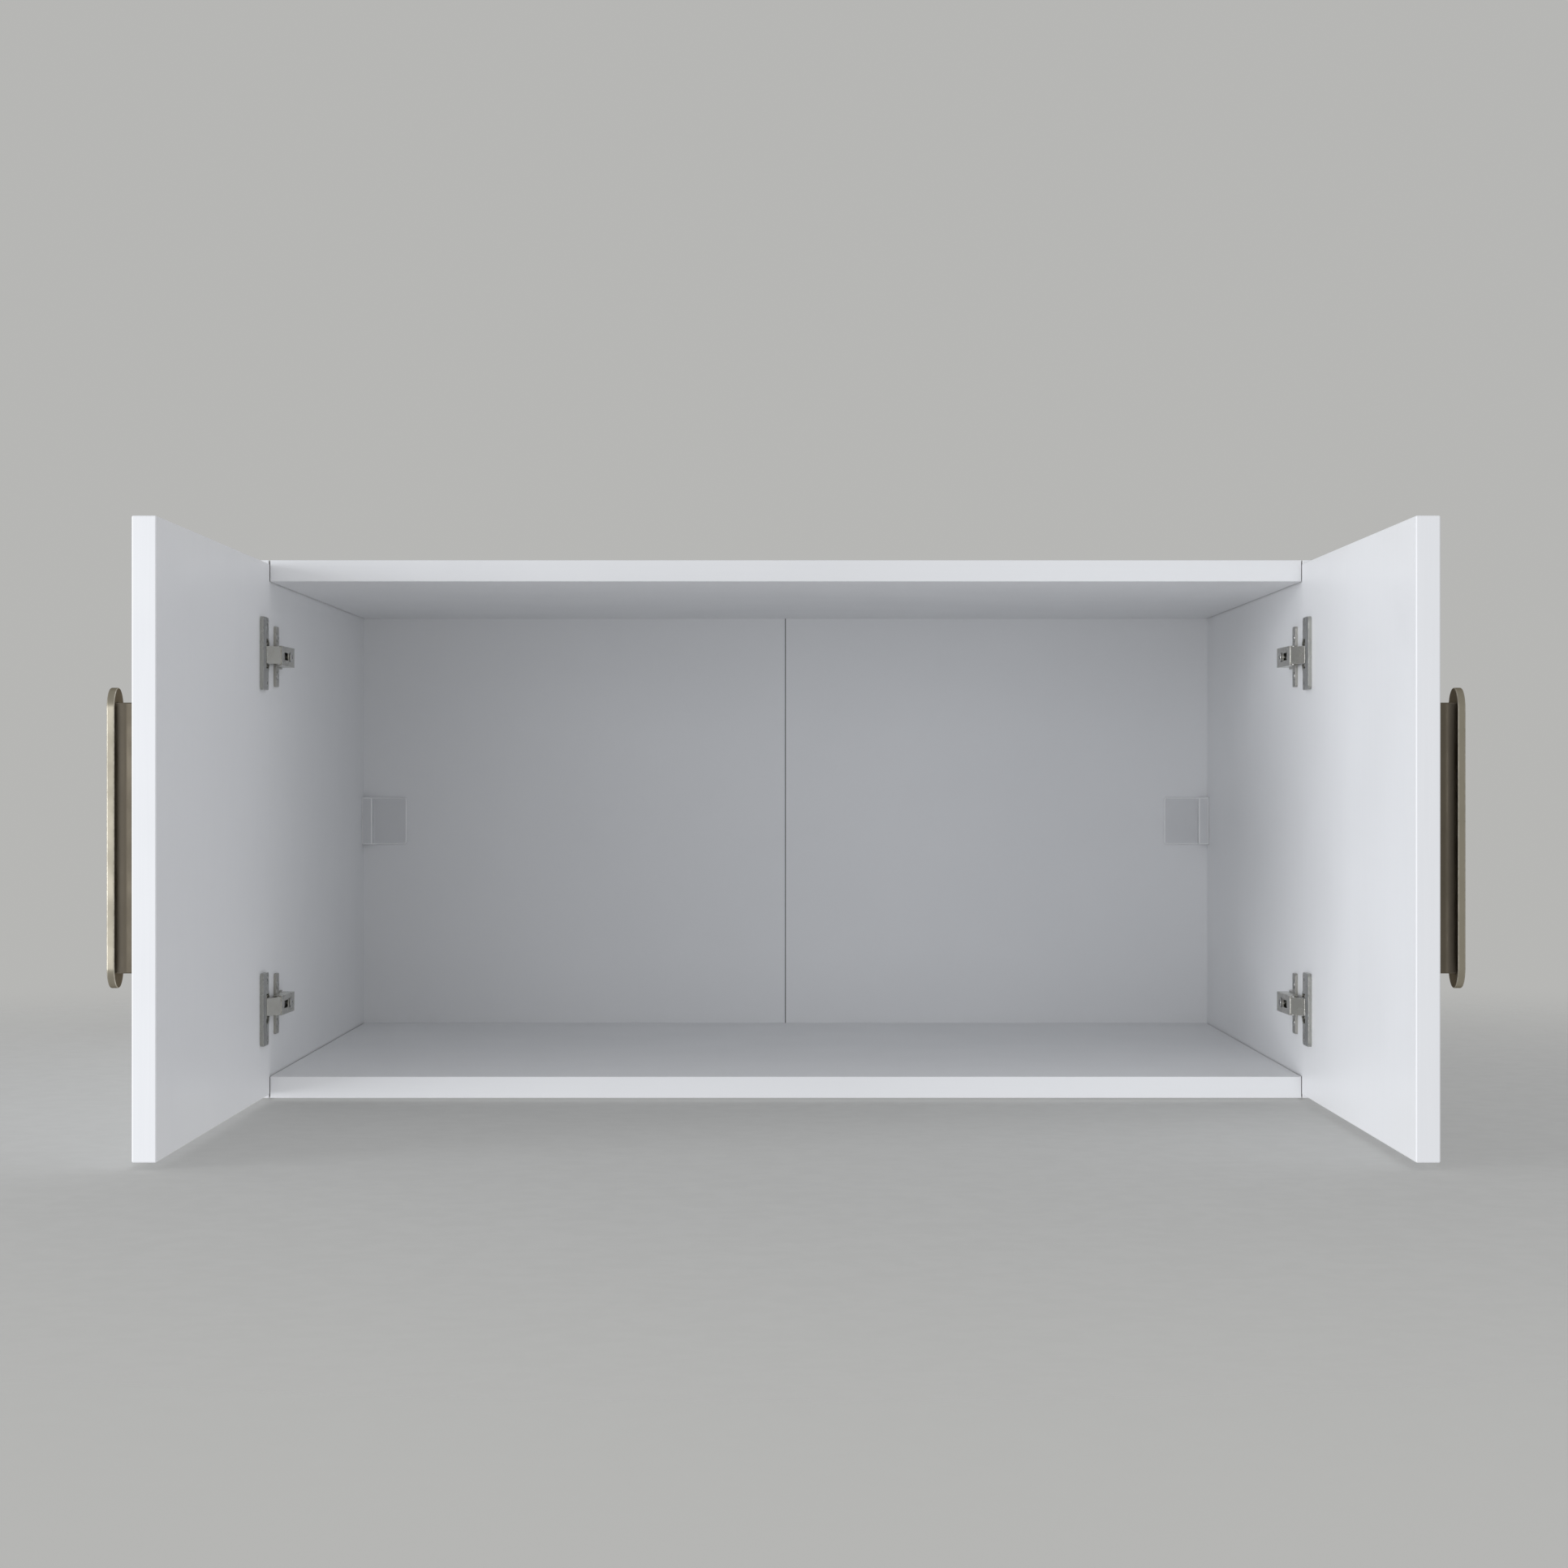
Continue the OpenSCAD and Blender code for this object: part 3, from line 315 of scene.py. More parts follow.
def hardboard():
    """White coat on the face towards the inside, pressed brown fibre on the face behind."""
    material, nodes, links, shader, place = new_finish("back hardboard")
    skin = use_group(nodes, COAT_SKIN, Peel_Scale=520.0, Cloud_Scale=6.0)
    links.new(place, skin.inputs["Vector"])
    clouded = between(nodes, links, skin.outputs["Cloud"], 0.0, 1.0)
    white = blend_colours(nodes, links, clouded, BACK_WHITE, BACK_WHITE_DEEP)
    fibres = add(nodes, "ShaderNodeTexNoise", in_Scale=260.0, in_Detail=6.0, in_Roughness=0.7)
    flecks = add(nodes, "ShaderNodeTexVoronoi", in_Scale=420.0, in_Randomness=1.0)
    for texture in (fibres, flecks):
        links.new(place, texture.inputs["Vector"])
    brown = blend_colours(nodes, links, between(nodes, links, fibres.outputs["Fac"], 0.0, 1.0),
                          RAW_BROWN_DARK, RAW_BROWN)
    fleck_mask = add(nodes, "ShaderNodeMath", operation="LESS_THAN")
    fleck_mask.inputs[1].default_value = FLECK_SHARE
    links.new(flecks.outputs["Distance"], fleck_mask.inputs[0])
    brown = blend_colours(nodes, links, fleck_mask.outputs[0], brown, RAW_FLECK)
    axes = nodes.new("ShaderNodeSeparateXYZ")
    links.new(place, axes.inputs[0])
    behind = add(nodes, "ShaderNodeMath", operation="GREATER_THAN")
    behind.inputs[1].default_value = -BACK_FACE
    links.new(axes.outputs["Y"], behind.inputs[0])
    links.new(blend_colours(nodes, links, behind.outputs[0], white, brown),
              shader.inputs["Base Color"])
    dull = add(nodes, "ShaderNodeMapRange")
    dull.inputs["To Min"].default_value = BACK_ROUGHNESS
    dull.inputs["To Max"].default_value = RAW_ROUGHNESS
    links.new(behind.outputs[0], dull.inputs["Value"])
    links.new(dull.outputs["Result"], shader.inputs["Roughness"])
    fibre_height = add(nodes, "ShaderNodeMath", operation="MULTIPLY")
    links.new(fibres.outputs["Fac"], fibre_height.inputs[0])
    links.new(behind.outputs[0], fibre_height.inputs[1])
    peel = rough_height(nodes, links, shader, skin.outputs["Peel"], 0.02 * MM, 0.35)
    rough_height(nodes, links, shader, fibre_height.outputs[0], 0.15 * MM, 0.6, peel)
    return material


def seam_shade_tape():
    """Matt film tape with long drawn streaks and a dull sheen, drawn near black as painted shade.
    """
    material, nodes, links, shader, place = new_finish("seam tape")
    streaks = use_group(nodes, FINE_GRAIN, Streaks=(420.0, 420.0, 40.0))
    skin = use_group(nodes, COAT_SKIN, Peel_Scale=300.0, Cloud_Scale=30.0)
    for node in (streaks, skin):
        links.new(place, node.inputs["Vector"])
    links.new(blend_colours(nodes, links, between(nodes, links, streaks.outputs["Grain"], 0.0, 1.0),
                            TAPE_SEAM_SHADE, TAPE_SEAM_SHADE_DEEP), shader.inputs["Base Color"])
    links.new(between(nodes, links, skin.outputs["Cloud"], 0.55, 0.75), shader.inputs["Roughness"])
    rough_height(nodes, links, shader, streaks.outputs["Grain"], 0.05 * MM, 0.5)
    return material


def refinish(node, material):
    """Gives a solid that stays as it is a better finish."""
    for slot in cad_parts[node].material_slots:
        slot.material = material


back_board = hardboard()
for side in ("left", "right"):
    refinish(f"back_leaf_{side}", back_board)
refinish("back_seam_tape", seam_shade_tape())

# Nails, cams and all screws
# Drawn and turned steel: wire nails hold the back, zinc cams draw the boards together, and
# cross-head screws hold the hinges, handles and brackets. One tree makes them all.

NAIL_HEAD = 0.6 * MM        # height of a nail's head
CAM_HEAD = 2.2 * MM         # height of a cam's visible disc
BEECH = (0.62, 0.40, 0.20)
BEECH_DEEP = (0.50, 0.29, 0.13)


def fastener_tree():
    """A turned fastener on every point: a crowned head, a cross recess and a pointed shank."""
    sockets = [
        ("Geometry", "NodeSocketGeometry", None),
        ("Head Radius", "NodeSocketFloat", 0.004), ("Head Height", "NodeSocketFloat", 0.002),
        ("Crown", "NodeSocketFloat", 0.4), ("Round Off", "NodeSocketFloat", 0.22),
        ("Shank Radius", "NodeSocketFloat", 0.002),
        ("Shank Length", "NodeSocketFloat", 0.01), ("Point", "NodeSocketFloat", 0.3),
        ("Recess", "NodeSocketBool", True), ("Recess Width", "NodeSocketFloat", 0.001),
        ("Recess Reach", "NodeSocketFloat", 0.6), ("Recess Depth", "NodeSocketFloat", 0.001),
        ("Sides", "NodeSocketInt", 32), ("Finish", "NodeSocketMaterial", None)]
    group, inp, out = group_with("Turned fasteners", "GeometryNodeTree", sockets,
                                 [("Geometry", "NodeSocketGeometry")])
    nodes, links = group.nodes, group.links

    def maths(operation, first, second):
        node = nodes.new("ShaderNodeMath")
        node.operation = operation
        for socket, value in zip(node.inputs, (first, second)):
            if isinstance(value, (int, float)):
                socket.default_value = value
            else:
                links.new(value, socket)
        return node.outputs[0]

    def turned(radius, length, rows, start, factor):
        """A cylinder from start upwards whose radius is scaled by a factor of its height."""
        body = nodes.new("GeometryNodeMeshCylinder")
        links.new(inp.outputs["Sides"], body.inputs["Vertices"])
        body.inputs["Side Segments"].default_value = rows
        links.new(radius, body.inputs["Radius"])
        links.new(length, body.inputs["Depth"])
        position = nodes.new("GeometryNodeInputPosition")
        axes = nodes.new("ShaderNodeSeparateXYZ")
        links.new(position.outputs[0], axes.inputs[0])
        share = maths("ADD", maths("DIVIDE", axes.outputs["Z"], length), 0.5)
        scale = factor(share)
        half = maths("MULTIPLY", length, 0.5)
        lifted = maths("ADD", maths("ADD", axes.outputs["Z"], half), start)
        placed = nodes.new("ShaderNodeCombineXYZ")
        links.new(maths("MULTIPLY", axes.outputs["X"], scale), placed.inputs["X"])
        links.new(maths("MULTIPLY", axes.outputs["Y"], scale), placed.inputs["Y"])
        links.new(lifted, placed.inputs["Z"])
        move = nodes.new("GeometryNodeSetPosition")
        links.new(body.outputs["Mesh"], move.inputs["Geometry"])
        links.new(placed.outputs[0], move.inputs["Position"])
        return move.outputs[0]

    def crowned(share):
        """The head narrows like an ellipse over its upper part."""
        flank = maths("SUBTRACT", 1.0, inp.outputs["Crown"])
        over = maths("DIVIDE", maths("SUBTRACT", share, flank),
                     maths("MAXIMUM", inp.outputs["Crown"], 0.001))
        rise = maths("MAXIMUM", over, 0.0)
        round_off = maths("SQRT", maths("SUBTRACT", 1.0001, maths("MULTIPLY", rise, rise)), 0.0)
        return maths("ADD", maths("MULTIPLY", round_off, inp.outputs["Round Off"]),
                     maths("SUBTRACT", 1.0, inp.outputs["Round Off"]))

    def pointed(share):
        """The shank keeps its radius and narrows to a point over its lowest part."""
        tip = maths("ADD", maths("DIVIDE", share, inp.outputs["Point"]), 0.08)
        return maths("MINIMUM", tip, 1.0)

    head = turned(inp.outputs["Head Radius"], inp.outputs["Head Height"], 8, 0.0, crowned)
    down = maths("MULTIPLY", inp.outputs["Shank Length"], -1.0)
    shank = turned(inp.outputs["Shank Radius"], inp.outputs["Shank Length"], 8, down, pointed)

    reach = maths("MULTIPLY", maths("MULTIPLY", inp.outputs["Head Radius"],
                                    inp.outputs["Recess Reach"]), 2.0)
    wings = nodes.new("GeometryNodeMeshBoolean")
    wings.operation = "DIFFERENCE"
    wings.solver = "EXACT"
    for turn in (0.0, math.pi / 2):
        wing = nodes.new("GeometryNodeMeshCube")
        size = nodes.new("ShaderNodeCombineXYZ")
        links.new(reach, size.inputs["X"])
        links.new(inp.outputs["Recess Width"], size.inputs["Y"])
        links.new(maths("MULTIPLY", inp.outputs["Recess Depth"], 2.0), size.inputs["Z"])
        links.new(size.outputs[0], wing.inputs["Size"])
        place = nodes.new("GeometryNodeTransform")
        place.inputs["Rotation"].default_value = (0.0, 0.0, turn)
        rise = nodes.new("ShaderNodeCombineXYZ")
        links.new(inp.outputs["Head Height"], rise.inputs["Z"])
        links.new(rise.outputs[0], place.inputs["Translation"])
        links.new(wing.outputs["Mesh"], place.inputs["Geometry"])
        links.new(place.outputs[0], wings.inputs["Mesh 2"])
    links.new(head, wings.inputs["Mesh 1"])
    choose = nodes.new("GeometryNodeSwitch")
    choose.input_type = "GEOMETRY"
    links.new(inp.outputs["Recess"], choose.inputs["Switch"])
    links.new(head, choose.inputs["False"])
    links.new(wings.outputs["Mesh"], choose.inputs["True"])
    whole = nodes.new("GeometryNodeJoinGeometry")
    links.new(choose.outputs[0], whole.inputs[0])
    links.new(shank, whole.inputs[0])
    aim = nodes.new("GeometryNodeInputNamedAttribute")
    aim.data_type = "FLOAT_VECTOR"
    aim.inputs["Name"].default_value = "aim"
    scatter = nodes.new("GeometryNodeInstanceOnPoints")
    to_turn = nodes.new("FunctionNodeEulerToRotation")
    links.new(aim.outputs["Attribute"], to_turn.inputs[0])
    links.new(to_turn.outputs[0], scatter.inputs["Rotation"])
    links.new(inp.outputs["Geometry"], scatter.inputs["Points"])
    links.new(whole.outputs[0], scatter.inputs["Instance"])
    real = nodes.new("GeometryNodeRealizeInstances")
    links.new(scatter.outputs[0], real.inputs[0])
    coat = nodes.new("GeometryNodeSetMaterial")
    links.new(real.outputs[0], coat.inputs["Geometry"])
    links.new(inp.outputs["Finish"], coat.inputs["Material"])
    links.new(coat.outputs[0], out.inputs["Geometry"])
    return group


FASTENERS = fastener_tree()


def drive(name, node, spots, body, slot, finish, **sizes):
    """Sets one fastener on every spot, each a place, the way its head looks and its own twist."""
    seeds = bpy.data.meshes.new(name + " spots")
    seeds.from_pydata([place for place, look, twist in spots], [], [])
    aim = seeds.attributes.new("aim", "FLOAT_VECTOR", "POINT")
    for index, (place, look, twist) in enumerate(spots):
        turn = Vector(look).to_track_quat("Z", "Y").to_matrix() @ Matrix.Rotation(twist, 3, "Z")
        aim.data[index].vector = turn.to_euler()
    holder = bpy.data.objects.new(name + " holder", seeds)
    bpy.context.scene.collection.objects.link(holder)
    maker = holder.modifiers.new("Fasteners", "NODES")
    maker.node_group = FASTENERS
    for item in FASTENERS.interface.items_tree:
        key = item.name.replace(" ", "_")
        if item.in_out == "INPUT" and key in sizes:
            maker[item.identifier] = sizes[key]
        elif item.in_out == "INPUT" and key == "Finish":
            maker[item.identifier] = finish
    seen = holder.evaluated_get(bpy.context.evaluated_depsgraph_get())
    mesh = bpy.data.meshes.new_from_object(seen)
    bpy.data.objects.remove(holder)
    shape = bmesh.new()
    shape.from_mesh(mesh)
    bmesh.ops.remove_doubles(shape, verts=shape.verts, dist=MERGE)
    bpy.data.meshes.remove(mesh)
    stand_for(finished_piece(shape, name, finish), node, body)


def islands(node):
    """The lowest and highest corner of each separate solid in a node, in a fixed order."""
    shape = bmesh.new()
    shape.from_mesh(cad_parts[node].data)
    bmesh.ops.remove_doubles(shape, verts=shape.verts, dist=MERGE)
    left = set(shape.verts)
    found = []
    while left:
        todo, seen = [left.pop()], []
        while todo:
            vert = todo.pop()
            seen.append(vert)
            for edge in vert.link_edges:
                other = edge.other_vert(vert)
                if other in left:
                    left.remove(other)
                    todo.append(other)
        low = Vector([min(v.co[axis] for v in seen) for axis in range(3)])
        high = Vector([max(v.co[axis] for v in seen) for axis in range(3)])
        found.append((low, high))
    shape.free()
    return sorted(found, key=lambda pair: tuple(round(c, 5) for c in (*pair[0], *pair[1])))


def edge_wear_group():
    """Mask of the worn edges: the edge attribute broken up by noise."""
    group, inp, out = group_with(
        "Edge wear", "ShaderNodeTree",
        [("Vector", "NodeSocketVector", None), ("Edge", "NodeSocketFloat", 0.0),
         ("Break Scale", "NodeSocketFloat", 400.0)],
        [("Wear", "NodeSocketFloat")])
    breaks = add(group.nodes, "ShaderNodeTexNoise", in_Detail=4.0, in_Roughness=0.6)
    spread = add(group.nodes, "ShaderNodeMapRange")
    spread.inputs["From Min"].default_value = 0.35
    spread.inputs["From Max"].default_value = 0.6
    both = add(group.nodes, "ShaderNodeMath", operation="MULTIPLY")
    group.links.new(inp.outputs["Vector"], breaks.inputs["Vector"])
    group.links.new(inp.outputs["Break Scale"], breaks.inputs["Scale"])
    group.links.new(breaks.outputs["Fac"], spread.inputs["Value"])
    group.links.new(spread.outputs["Result"], both.inputs[0])
    group.links.new(inp.outputs["Edge"], both.inputs[1])
    group.links.new(both.outputs[0], out.inputs["Wear"])
    return group


EDGE_WEAR = edge_wear_group()


def plated(name, colour, deep, worn, roughness, streaks=(900.0, 900.0, 60.0), inner=None):
    """Plated metal: fine drawn streaks, cloudy sheen, and edges rubbed a little brighter. Faces
    marked as lying in a recess take a darker colour of their own, as painted shade."""
    material, nodes, links, shader, place = new_finish(name)
    skin = use_group(nodes, COAT_SKIN, Peel_Scale=1500.0, Cloud_Scale=45.0)
    grain = use_group(nodes, FINE_GRAIN, Streaks=streaks)
    wear = use_group(nodes, EDGE_WEAR)
    edge = add(nodes, "ShaderNodeAttribute", attribute_name="edge")
    for node in (skin, grain, wear):
        links.new(place, node.inputs["Vector"])
    links.new(edge.outputs["Fac"], wear.inputs["Edge"])
    base = blend_colours(nodes, links, between(nodes, links, skin.outputs["Cloud"], 0.0, 1.0),
                         colour, deep)
    base = blend_colours(nodes, links, wear.outputs["Wear"], base, worn)
    # Faces in the recess get a darker colour: painted shade.
    if inner:
        recess_shade_mark = add(nodes, "ShaderNodeAttribute", attribute_name="inner")
        base = blend_colours(nodes, links, recess_shade_mark.outputs["Fac"], base, inner)
    links.new(base, shader.inputs["Base Color"])
    shader.inputs["Metallic"].default_value = 1.0
    links.new(between(nodes, links, skin.outputs["Cloud"], *roughness), shader.inputs["Roughness"])
    peel = rough_height(nodes, links, shader, skin.outputs["Peel"], 0.002 * MM, 0.12)
    rough_height(nodes, links, shader, grain.outputs["Grain"], 0.004 * MM, 0.15, peel)
    return material


nail_steel = plated("nail steel", colour=(0.30, 0.30, 0.31), deep=(0.22, 0.22, 0.23),
                    worn=(0.45, 0.45, 0.45), roughness=(0.35, 0.50))
cam_zinc = plated("cam zinc", colour=(0.50, 0.50, 0.51), deep=(0.40, 0.40, 0.42),
                  worn=(0.66, 0.66, 0.66), roughness=(0.38, 0.52))
screw_steel = plated("screw steel", colour=(0.60, 0.60, 0.59), deep=(0.48, 0.48, 0.48),
                     worn=(0.78, 0.78, 0.76), roughness=(0.22, 0.36))

drive("back_wire_nails", "back_nails",
      [(((low.x + high.x) / 2, high.y - NAIL_HEAD, (low.z + high.z) / 2), (0.0, 1.0, 0.0), 0.0)
       for low, high in islands("back_nails")],
      "carcass", "nails", nail_steel, Head_Radius=1.6 * MM, Head_Height=NAIL_HEAD, Crown=0.5,
      Shank_Radius=0.7 * MM, Shank_Length=16.0 * MM, Point=0.12, Recess=False, Sides=14)

drive("cam_discs", "cam_locks",
      [(((low.x + high.x) / 2, (low.y + high.y) / 2,
         high.z - CAM_HEAD if high.z > 0 else low.z + CAM_HEAD),
        (0.0, 0.0, 1.0 if high.z > 0 else -1.0), 0.3 * index)
       for index, (low, high) in enumerate(islands("cam_locks"))],
      "carcass", "zinc", cam_zinc, Head_Radius=7.4 * MM, Head_Height=CAM_HEAD, Crown=0.3,
      Round_Off=0.06, Shank_Radius=7.0 * MM, Shank_Length=10.0 * MM, Point=0.05, Recess=True,
      Recess_Width=1.6 * MM, Recess_Reach=0.6, Recess_Depth=2.0 * MM, Sides=48)
refinish("cam_bolts", screw_steel)

dowel_beech, nodes, links, shader, place = new_finish("dowel beech")
grain = use_group(nodes, FINE_GRAIN, Streaks=(30.0, 900.0, 900.0))
links.new(place, grain.inputs["Vector"])
grain_mask = between(nodes, links, grain.outputs["Grain"], 0.0, 1.0)
links.new(blend_colours(nodes, links, grain_mask, BEECH, BEECH_DEEP), shader.inputs["Base Color"])
links.new(between(nodes, links, grain.outputs["Grain"], 0.55, 0.7), shader.inputs["Roughness"])
rough_height(nodes, links, shader, grain.outputs["Grain"], 0.1 * MM, 0.5)
refinish("wooden_dowels", dowel_beech)


def screws(node, body, **sizes):
    """Cross-head screws driven sideways, heads towards the inside, each with its own twist."""
    spots = []
    for index, (low, high) in enumerate(islands(node)):
        middle = (low + high) / 2
        inwards = -1.0 if middle.x > 0 else 1.0
        head_top = high.x if inwards > 0 else low.x
        spots.append(((head_top - inwards * sizes["Head_Height"], middle.y, middle.z),
                      (inwards, 0.0, 0.0), 0.35 + 0.83 * index))
    drive(f"{node}_set", node, spots, body, "screws", screw_steel, Recess=True,
          Recess_Reach=0.62, **sizes)


WOOD_HEAD = {"Head_Radius": 3.4 * MM, "Head_Height": 1.6 * MM, "Crown": 0.75,
             "Recess_Width": 1.0 * MM, "Recess_Depth": 1.1 * MM}
for side in ("left", "right"):
    screws(f"plate_screws_{side}", "carcass", Shank_Radius=2.4 * MM, Shank_Length=11.0 * MM,
           **WOOD_HEAD)
    screws(f"clamping_screws_{side}", "carcass", Head_Radius=4.0 * MM, Head_Height=1.4 * MM,
           Crown=0.5, Shank_Radius=1.9 * MM, Shank_Length=9.0 * MM, Recess_Width=1.2 * MM,
           Recess_Depth=1.0 * MM)
    screws(f"adjusting_screws_{side}", "carcass", Head_Radius=2.6 * MM, Head_Height=1.1 * MM,
           Crown=0.5, Shank_Radius=1.9 * MM, Shank_Length=7.0 * MM, Recess_Width=0.9 * MM,
           Recess_Depth=0.8 * MM)
    screws(f"cup_screws_{side}", f"door_{side}", Shank_Radius=1.7 * MM, Shank_Length=12.0 * MM,
           **WOOD_HEAD)
    screws(f"handle_screws_{side}", f"door_{side}", Head_Radius=4.0 * MM, Head_Height=2.0 * MM,
           Crown=0.5, Shank_Radius=2.0 * MM, Shank_Length=22.0 * MM, Recess_Width=1.1 * MM,
           Recess_Depth=1.3 * MM)
screws("bracket_screws", "carcass", Shank_Radius=1.7 * MM, Shank_Length=12.0 * MM, **WOOD_HEAD)

# Wall brackets and covers
# A folded galvanised angle in each rear corner takes the wall screw. A white injection-moulded
# cover clips over it, with a block over the side leg and a thin plate over the rear leg.

BRACKET_ROUND = 0.2 * MM
SHARP_ANGLE = math.radians(28.0)    # edges sharper than this are broken on a part
COVER_ROUND = 1.1 * MM
COVER_LIP = 5.0 * MM        # what lies nearer than this to the rear plane is hidden
# The cover's face is a grey below its own white, as painted shade for the contact shadow around it.
COVER_SHADED_WHITE = (0.745, 0.752, 0.766)
COVER_SHADED_WHITE_DEEP = (0.738, 0.745, 0.760)
# The cover's rounded edges are near white: painted highlights.
COVER_EDGE_HIGHLIGHT = (0.975, 0.980, 0.985)


def edged_part(node, name, radius, material, body, steps=2, wanted=None):
    """A metal or moulded part whose sharp edges are broken, with the broken edges marked: for wear
    on metal, for a painted highlight on the cover.
    """
    shape = whole_faces(node)
    mark = shape.faces.layers.float.new("edge")
    sharp = [edge for edge in shape.edges if len(edge.link_faces) == 2
             and edge.calc_face_angle() > SHARP_ANGLE and (not wanted or wanted(edge))]
    worked = bmesh.ops.bevel(shape, geom=sharp, offset=radius, segments=steps, profile=0.5,
                             affect="EDGES", clamp_overlap=False)
    for face in worked["faces"]:
        face[mark] = 1.0
    piece = finished_piece(shape, name, material)
    stand_for(piece, node, body)
    return piece


def shows_on_cover(edge):
    """An outer edge of a cover, clear of the back and of its own hollow."""
    return edge.is_convex and all(v.co.y < -COVER_LIP for v in edge.verts)


cover_plastic, nodes, links, shader, place = new_finish("cover plastic")
skin = use_group(nodes, COAT_SKIN, Peel_Scale=1100.0, Cloud_Scale=40.0)
links.new(place, skin.inputs["Vector"])
edge = add(nodes, "ShaderNodeAttribute", attribute_name="edge")
clouded = between(nodes, links, skin.outputs["Cloud"], 0.0, 1.0)
# Painted shade on the cover's face.
shaded_moulding = blend_colours(nodes, links, clouded, COVER_SHADED_WHITE, COVER_SHADED_WHITE_DEEP)
# Painted highlight on the cover's rounded edges.
links.new(blend_colours(nodes, links, edge.outputs["Fac"], shaded_moulding, COVER_EDGE_HIGHLIGHT),
          shader.inputs["Base Color"])
links.new(between(nodes, links, skin.outputs["Cloud"], 0.34, 0.38), shader.inputs["Roughness"])
rough_height(nodes, links, shader, skin.outputs["Peel"], 0.01 * MM, 0.3)
bracket_zinc = plated("galvanised bracket", colour=(0.52, 0.53, 0.54), deep=(0.40, 0.41, 0.43),
                      worn=(0.68, 0.68, 0.68), roughness=(0.34, 0.52))
for side in ("left", "right"):
    edged_part(f"wall_bracket_{side}", f"hanging_bracket_{side}", BRACKET_ROUND, bracket_zinc,
               "carcass")
    edged_part(f"bracket_cover_{side}", f"moulded_cover_{side}", COVER_ROUND, cover_plastic,
               "carcass", steps=3, wanted=shows_on_cover)

# Hinges
# Concealed cup hinges in nickel-plated steel: a cast cross plate on the side board, a folded arm
# clamped on it, and a pressed link on two pins that carries the cup sunk in the door.

HINGE_EDGE = 0.22 * MM
nickel = plated("nickel plate", colour=(0.52, 0.51, 0.47), deep=(0.48, 0.47, 0.43),
                worn=(0.76, 0.75, 0.70), roughness=(0.22, 0.30))
cup_nickel = plated("cup nickel plate", colour=(0.43, 0.43, 0.405), deep=(0.39, 0.39, 0.37),
                    worn=(0.76, 0.75, 0.70), roughness=(0.22, 0.30))
cast_nickel = plated("cast nickel plate", colour=(0.48, 0.47, 0.44), deep=(0.44, 0.43, 0.40),
                     worn=(0.70, 0.69, 0.65), roughness=(0.30, 0.40))
pin_steel = plated("pin steel", colour=(0.70, 0.70, 0.68), deep=(0.58, 0.58, 0.57),
                   worn=(0.80, 0.80, 0.78), roughness=(0.18, 0.28))
for side in ("left", "right"):
    for level in ("upper", "lower"):
        place = f"{side}_{level}"
        edged_part(f"mounting_plate_{place}", f"cross_plate_{place}", HINGE_EDGE, cast_nickel,
                   "carcass")
        edged_part(f"hinge_arm_{place}", f"folded_arm_{place}", HINGE_EDGE, nickel,
                   "carcass")
        edged_part(f"hinge_link_{place}", f"pressed_link_{place}", HINGE_EDGE, nickel,
                   f"links_{side}")
        edged_part(f"hinge_cup_{place}", f"sunk_cup_{place}", HINGE_EDGE, cup_nickel,
                   f"door_{side}")
    refinish(f"arm_pins_{side}", pin_steel)
    refinish(f"cup_pins_{side}", pin_steel)

# Doors
# Two 17 mm doors in white lacquered board with rounded edges and a very faint upright grain,
# bored for the hinge cups and, at the handles, for two screws under flush caps.

DOOR_ROUND = 1.1 * MM
DOOR_WHITE = (0.892, 0.899, 0.912)
DOOR_WHITE_DEEP = (0.874, 0.882, 0.897)
door_white = white_coat("door lacquer", DOOR_WHITE, DOOR_WHITE_DEEP, roughness=(0.34, 0.46),
                        streaks=(700.0, 700.0, 9.0), grain_share=0.8)
cap_white = white_coat("cap plastic", DOOR_WHITE, DOOR_WHITE_DEEP, roughness=(0.40, 0.50),
                       streaks=(600.0, 600.0, 600.0), grain_share=0.2)
for side in ("left", "right"):
    banded_board(f"door_{side}", f"lacquered_door_{side}", DOOR_ROUND, (0, 1, 2), door_white,
                 f"door_{side}")
    refinish(f"handle_screw_caps_{side}", cap_white)

# Handles
# Champagne anodised aluminium, milled from bar: a round-ended grip plate that stands on a stem
# with hollow flanks. The bar is brushed lengthwise before it is anodised.

GRIP_EDGE = 0.8 * MM
GRIP_THICK = 5.5 * MM       # what lies behind the grip's rear face is drawn darker, as painted shade
CHAMPAGNE = (0.420, 0.384, 0.308)
CHAMPAGNE_DEEP = (0.392, 0.358, 0.286)
CHAMPAGNE_WORN = (0.530, 0.495, 0.415)
# The stem and the back of the grip plate are drawn darker than the grip: painted shade for the
# recess between grip and door.
STEM_RECESS_SHADE = (0.180, 0.156, 0.120)
SLANT_TINT = (0.40, 0.37, 0.33, 1.0)    # keeps the metal from flaring at a slant
anodised = plated("champagne anodised", CHAMPAGNE, CHAMPAGNE_DEEP, CHAMPAGNE_WORN, (0.34, 0.46),
                  streaks=(1400.0, 1400.0, 22.0), inner=STEM_RECESS_SHADE)
anodised.node_tree.nodes["Principled BSDF"].inputs["Specular Tint"].default_value = SLANT_TINT
for side in ("left", "right"):
    low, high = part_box(f"handle_{side}")
    grip_back = max(abs(low[0]), abs(high[0])) - GRIP_THICK
    handle = edged_part(f"handle_{side}", f"bar_handle_{side}", GRIP_EDGE, anodised,
                        f"door_{side}", steps=3)
    # Faces behind the grip's rear face are marked for the painted shade colour.
    inner = handle.data.attributes.new("inner", "FLOAT", "FACE")
    for face in handle.data.polygons:
        inner.data[face.index].value = float(abs(face.center.x) < grip_back + 10 * ON_FACE)

# Floor, light and camera
# A plain pale floor just below the cabinet that runs out into the background, one large soft
# lamp far to the left, a weak one in front, and the camera straight ahead of the cabinet.

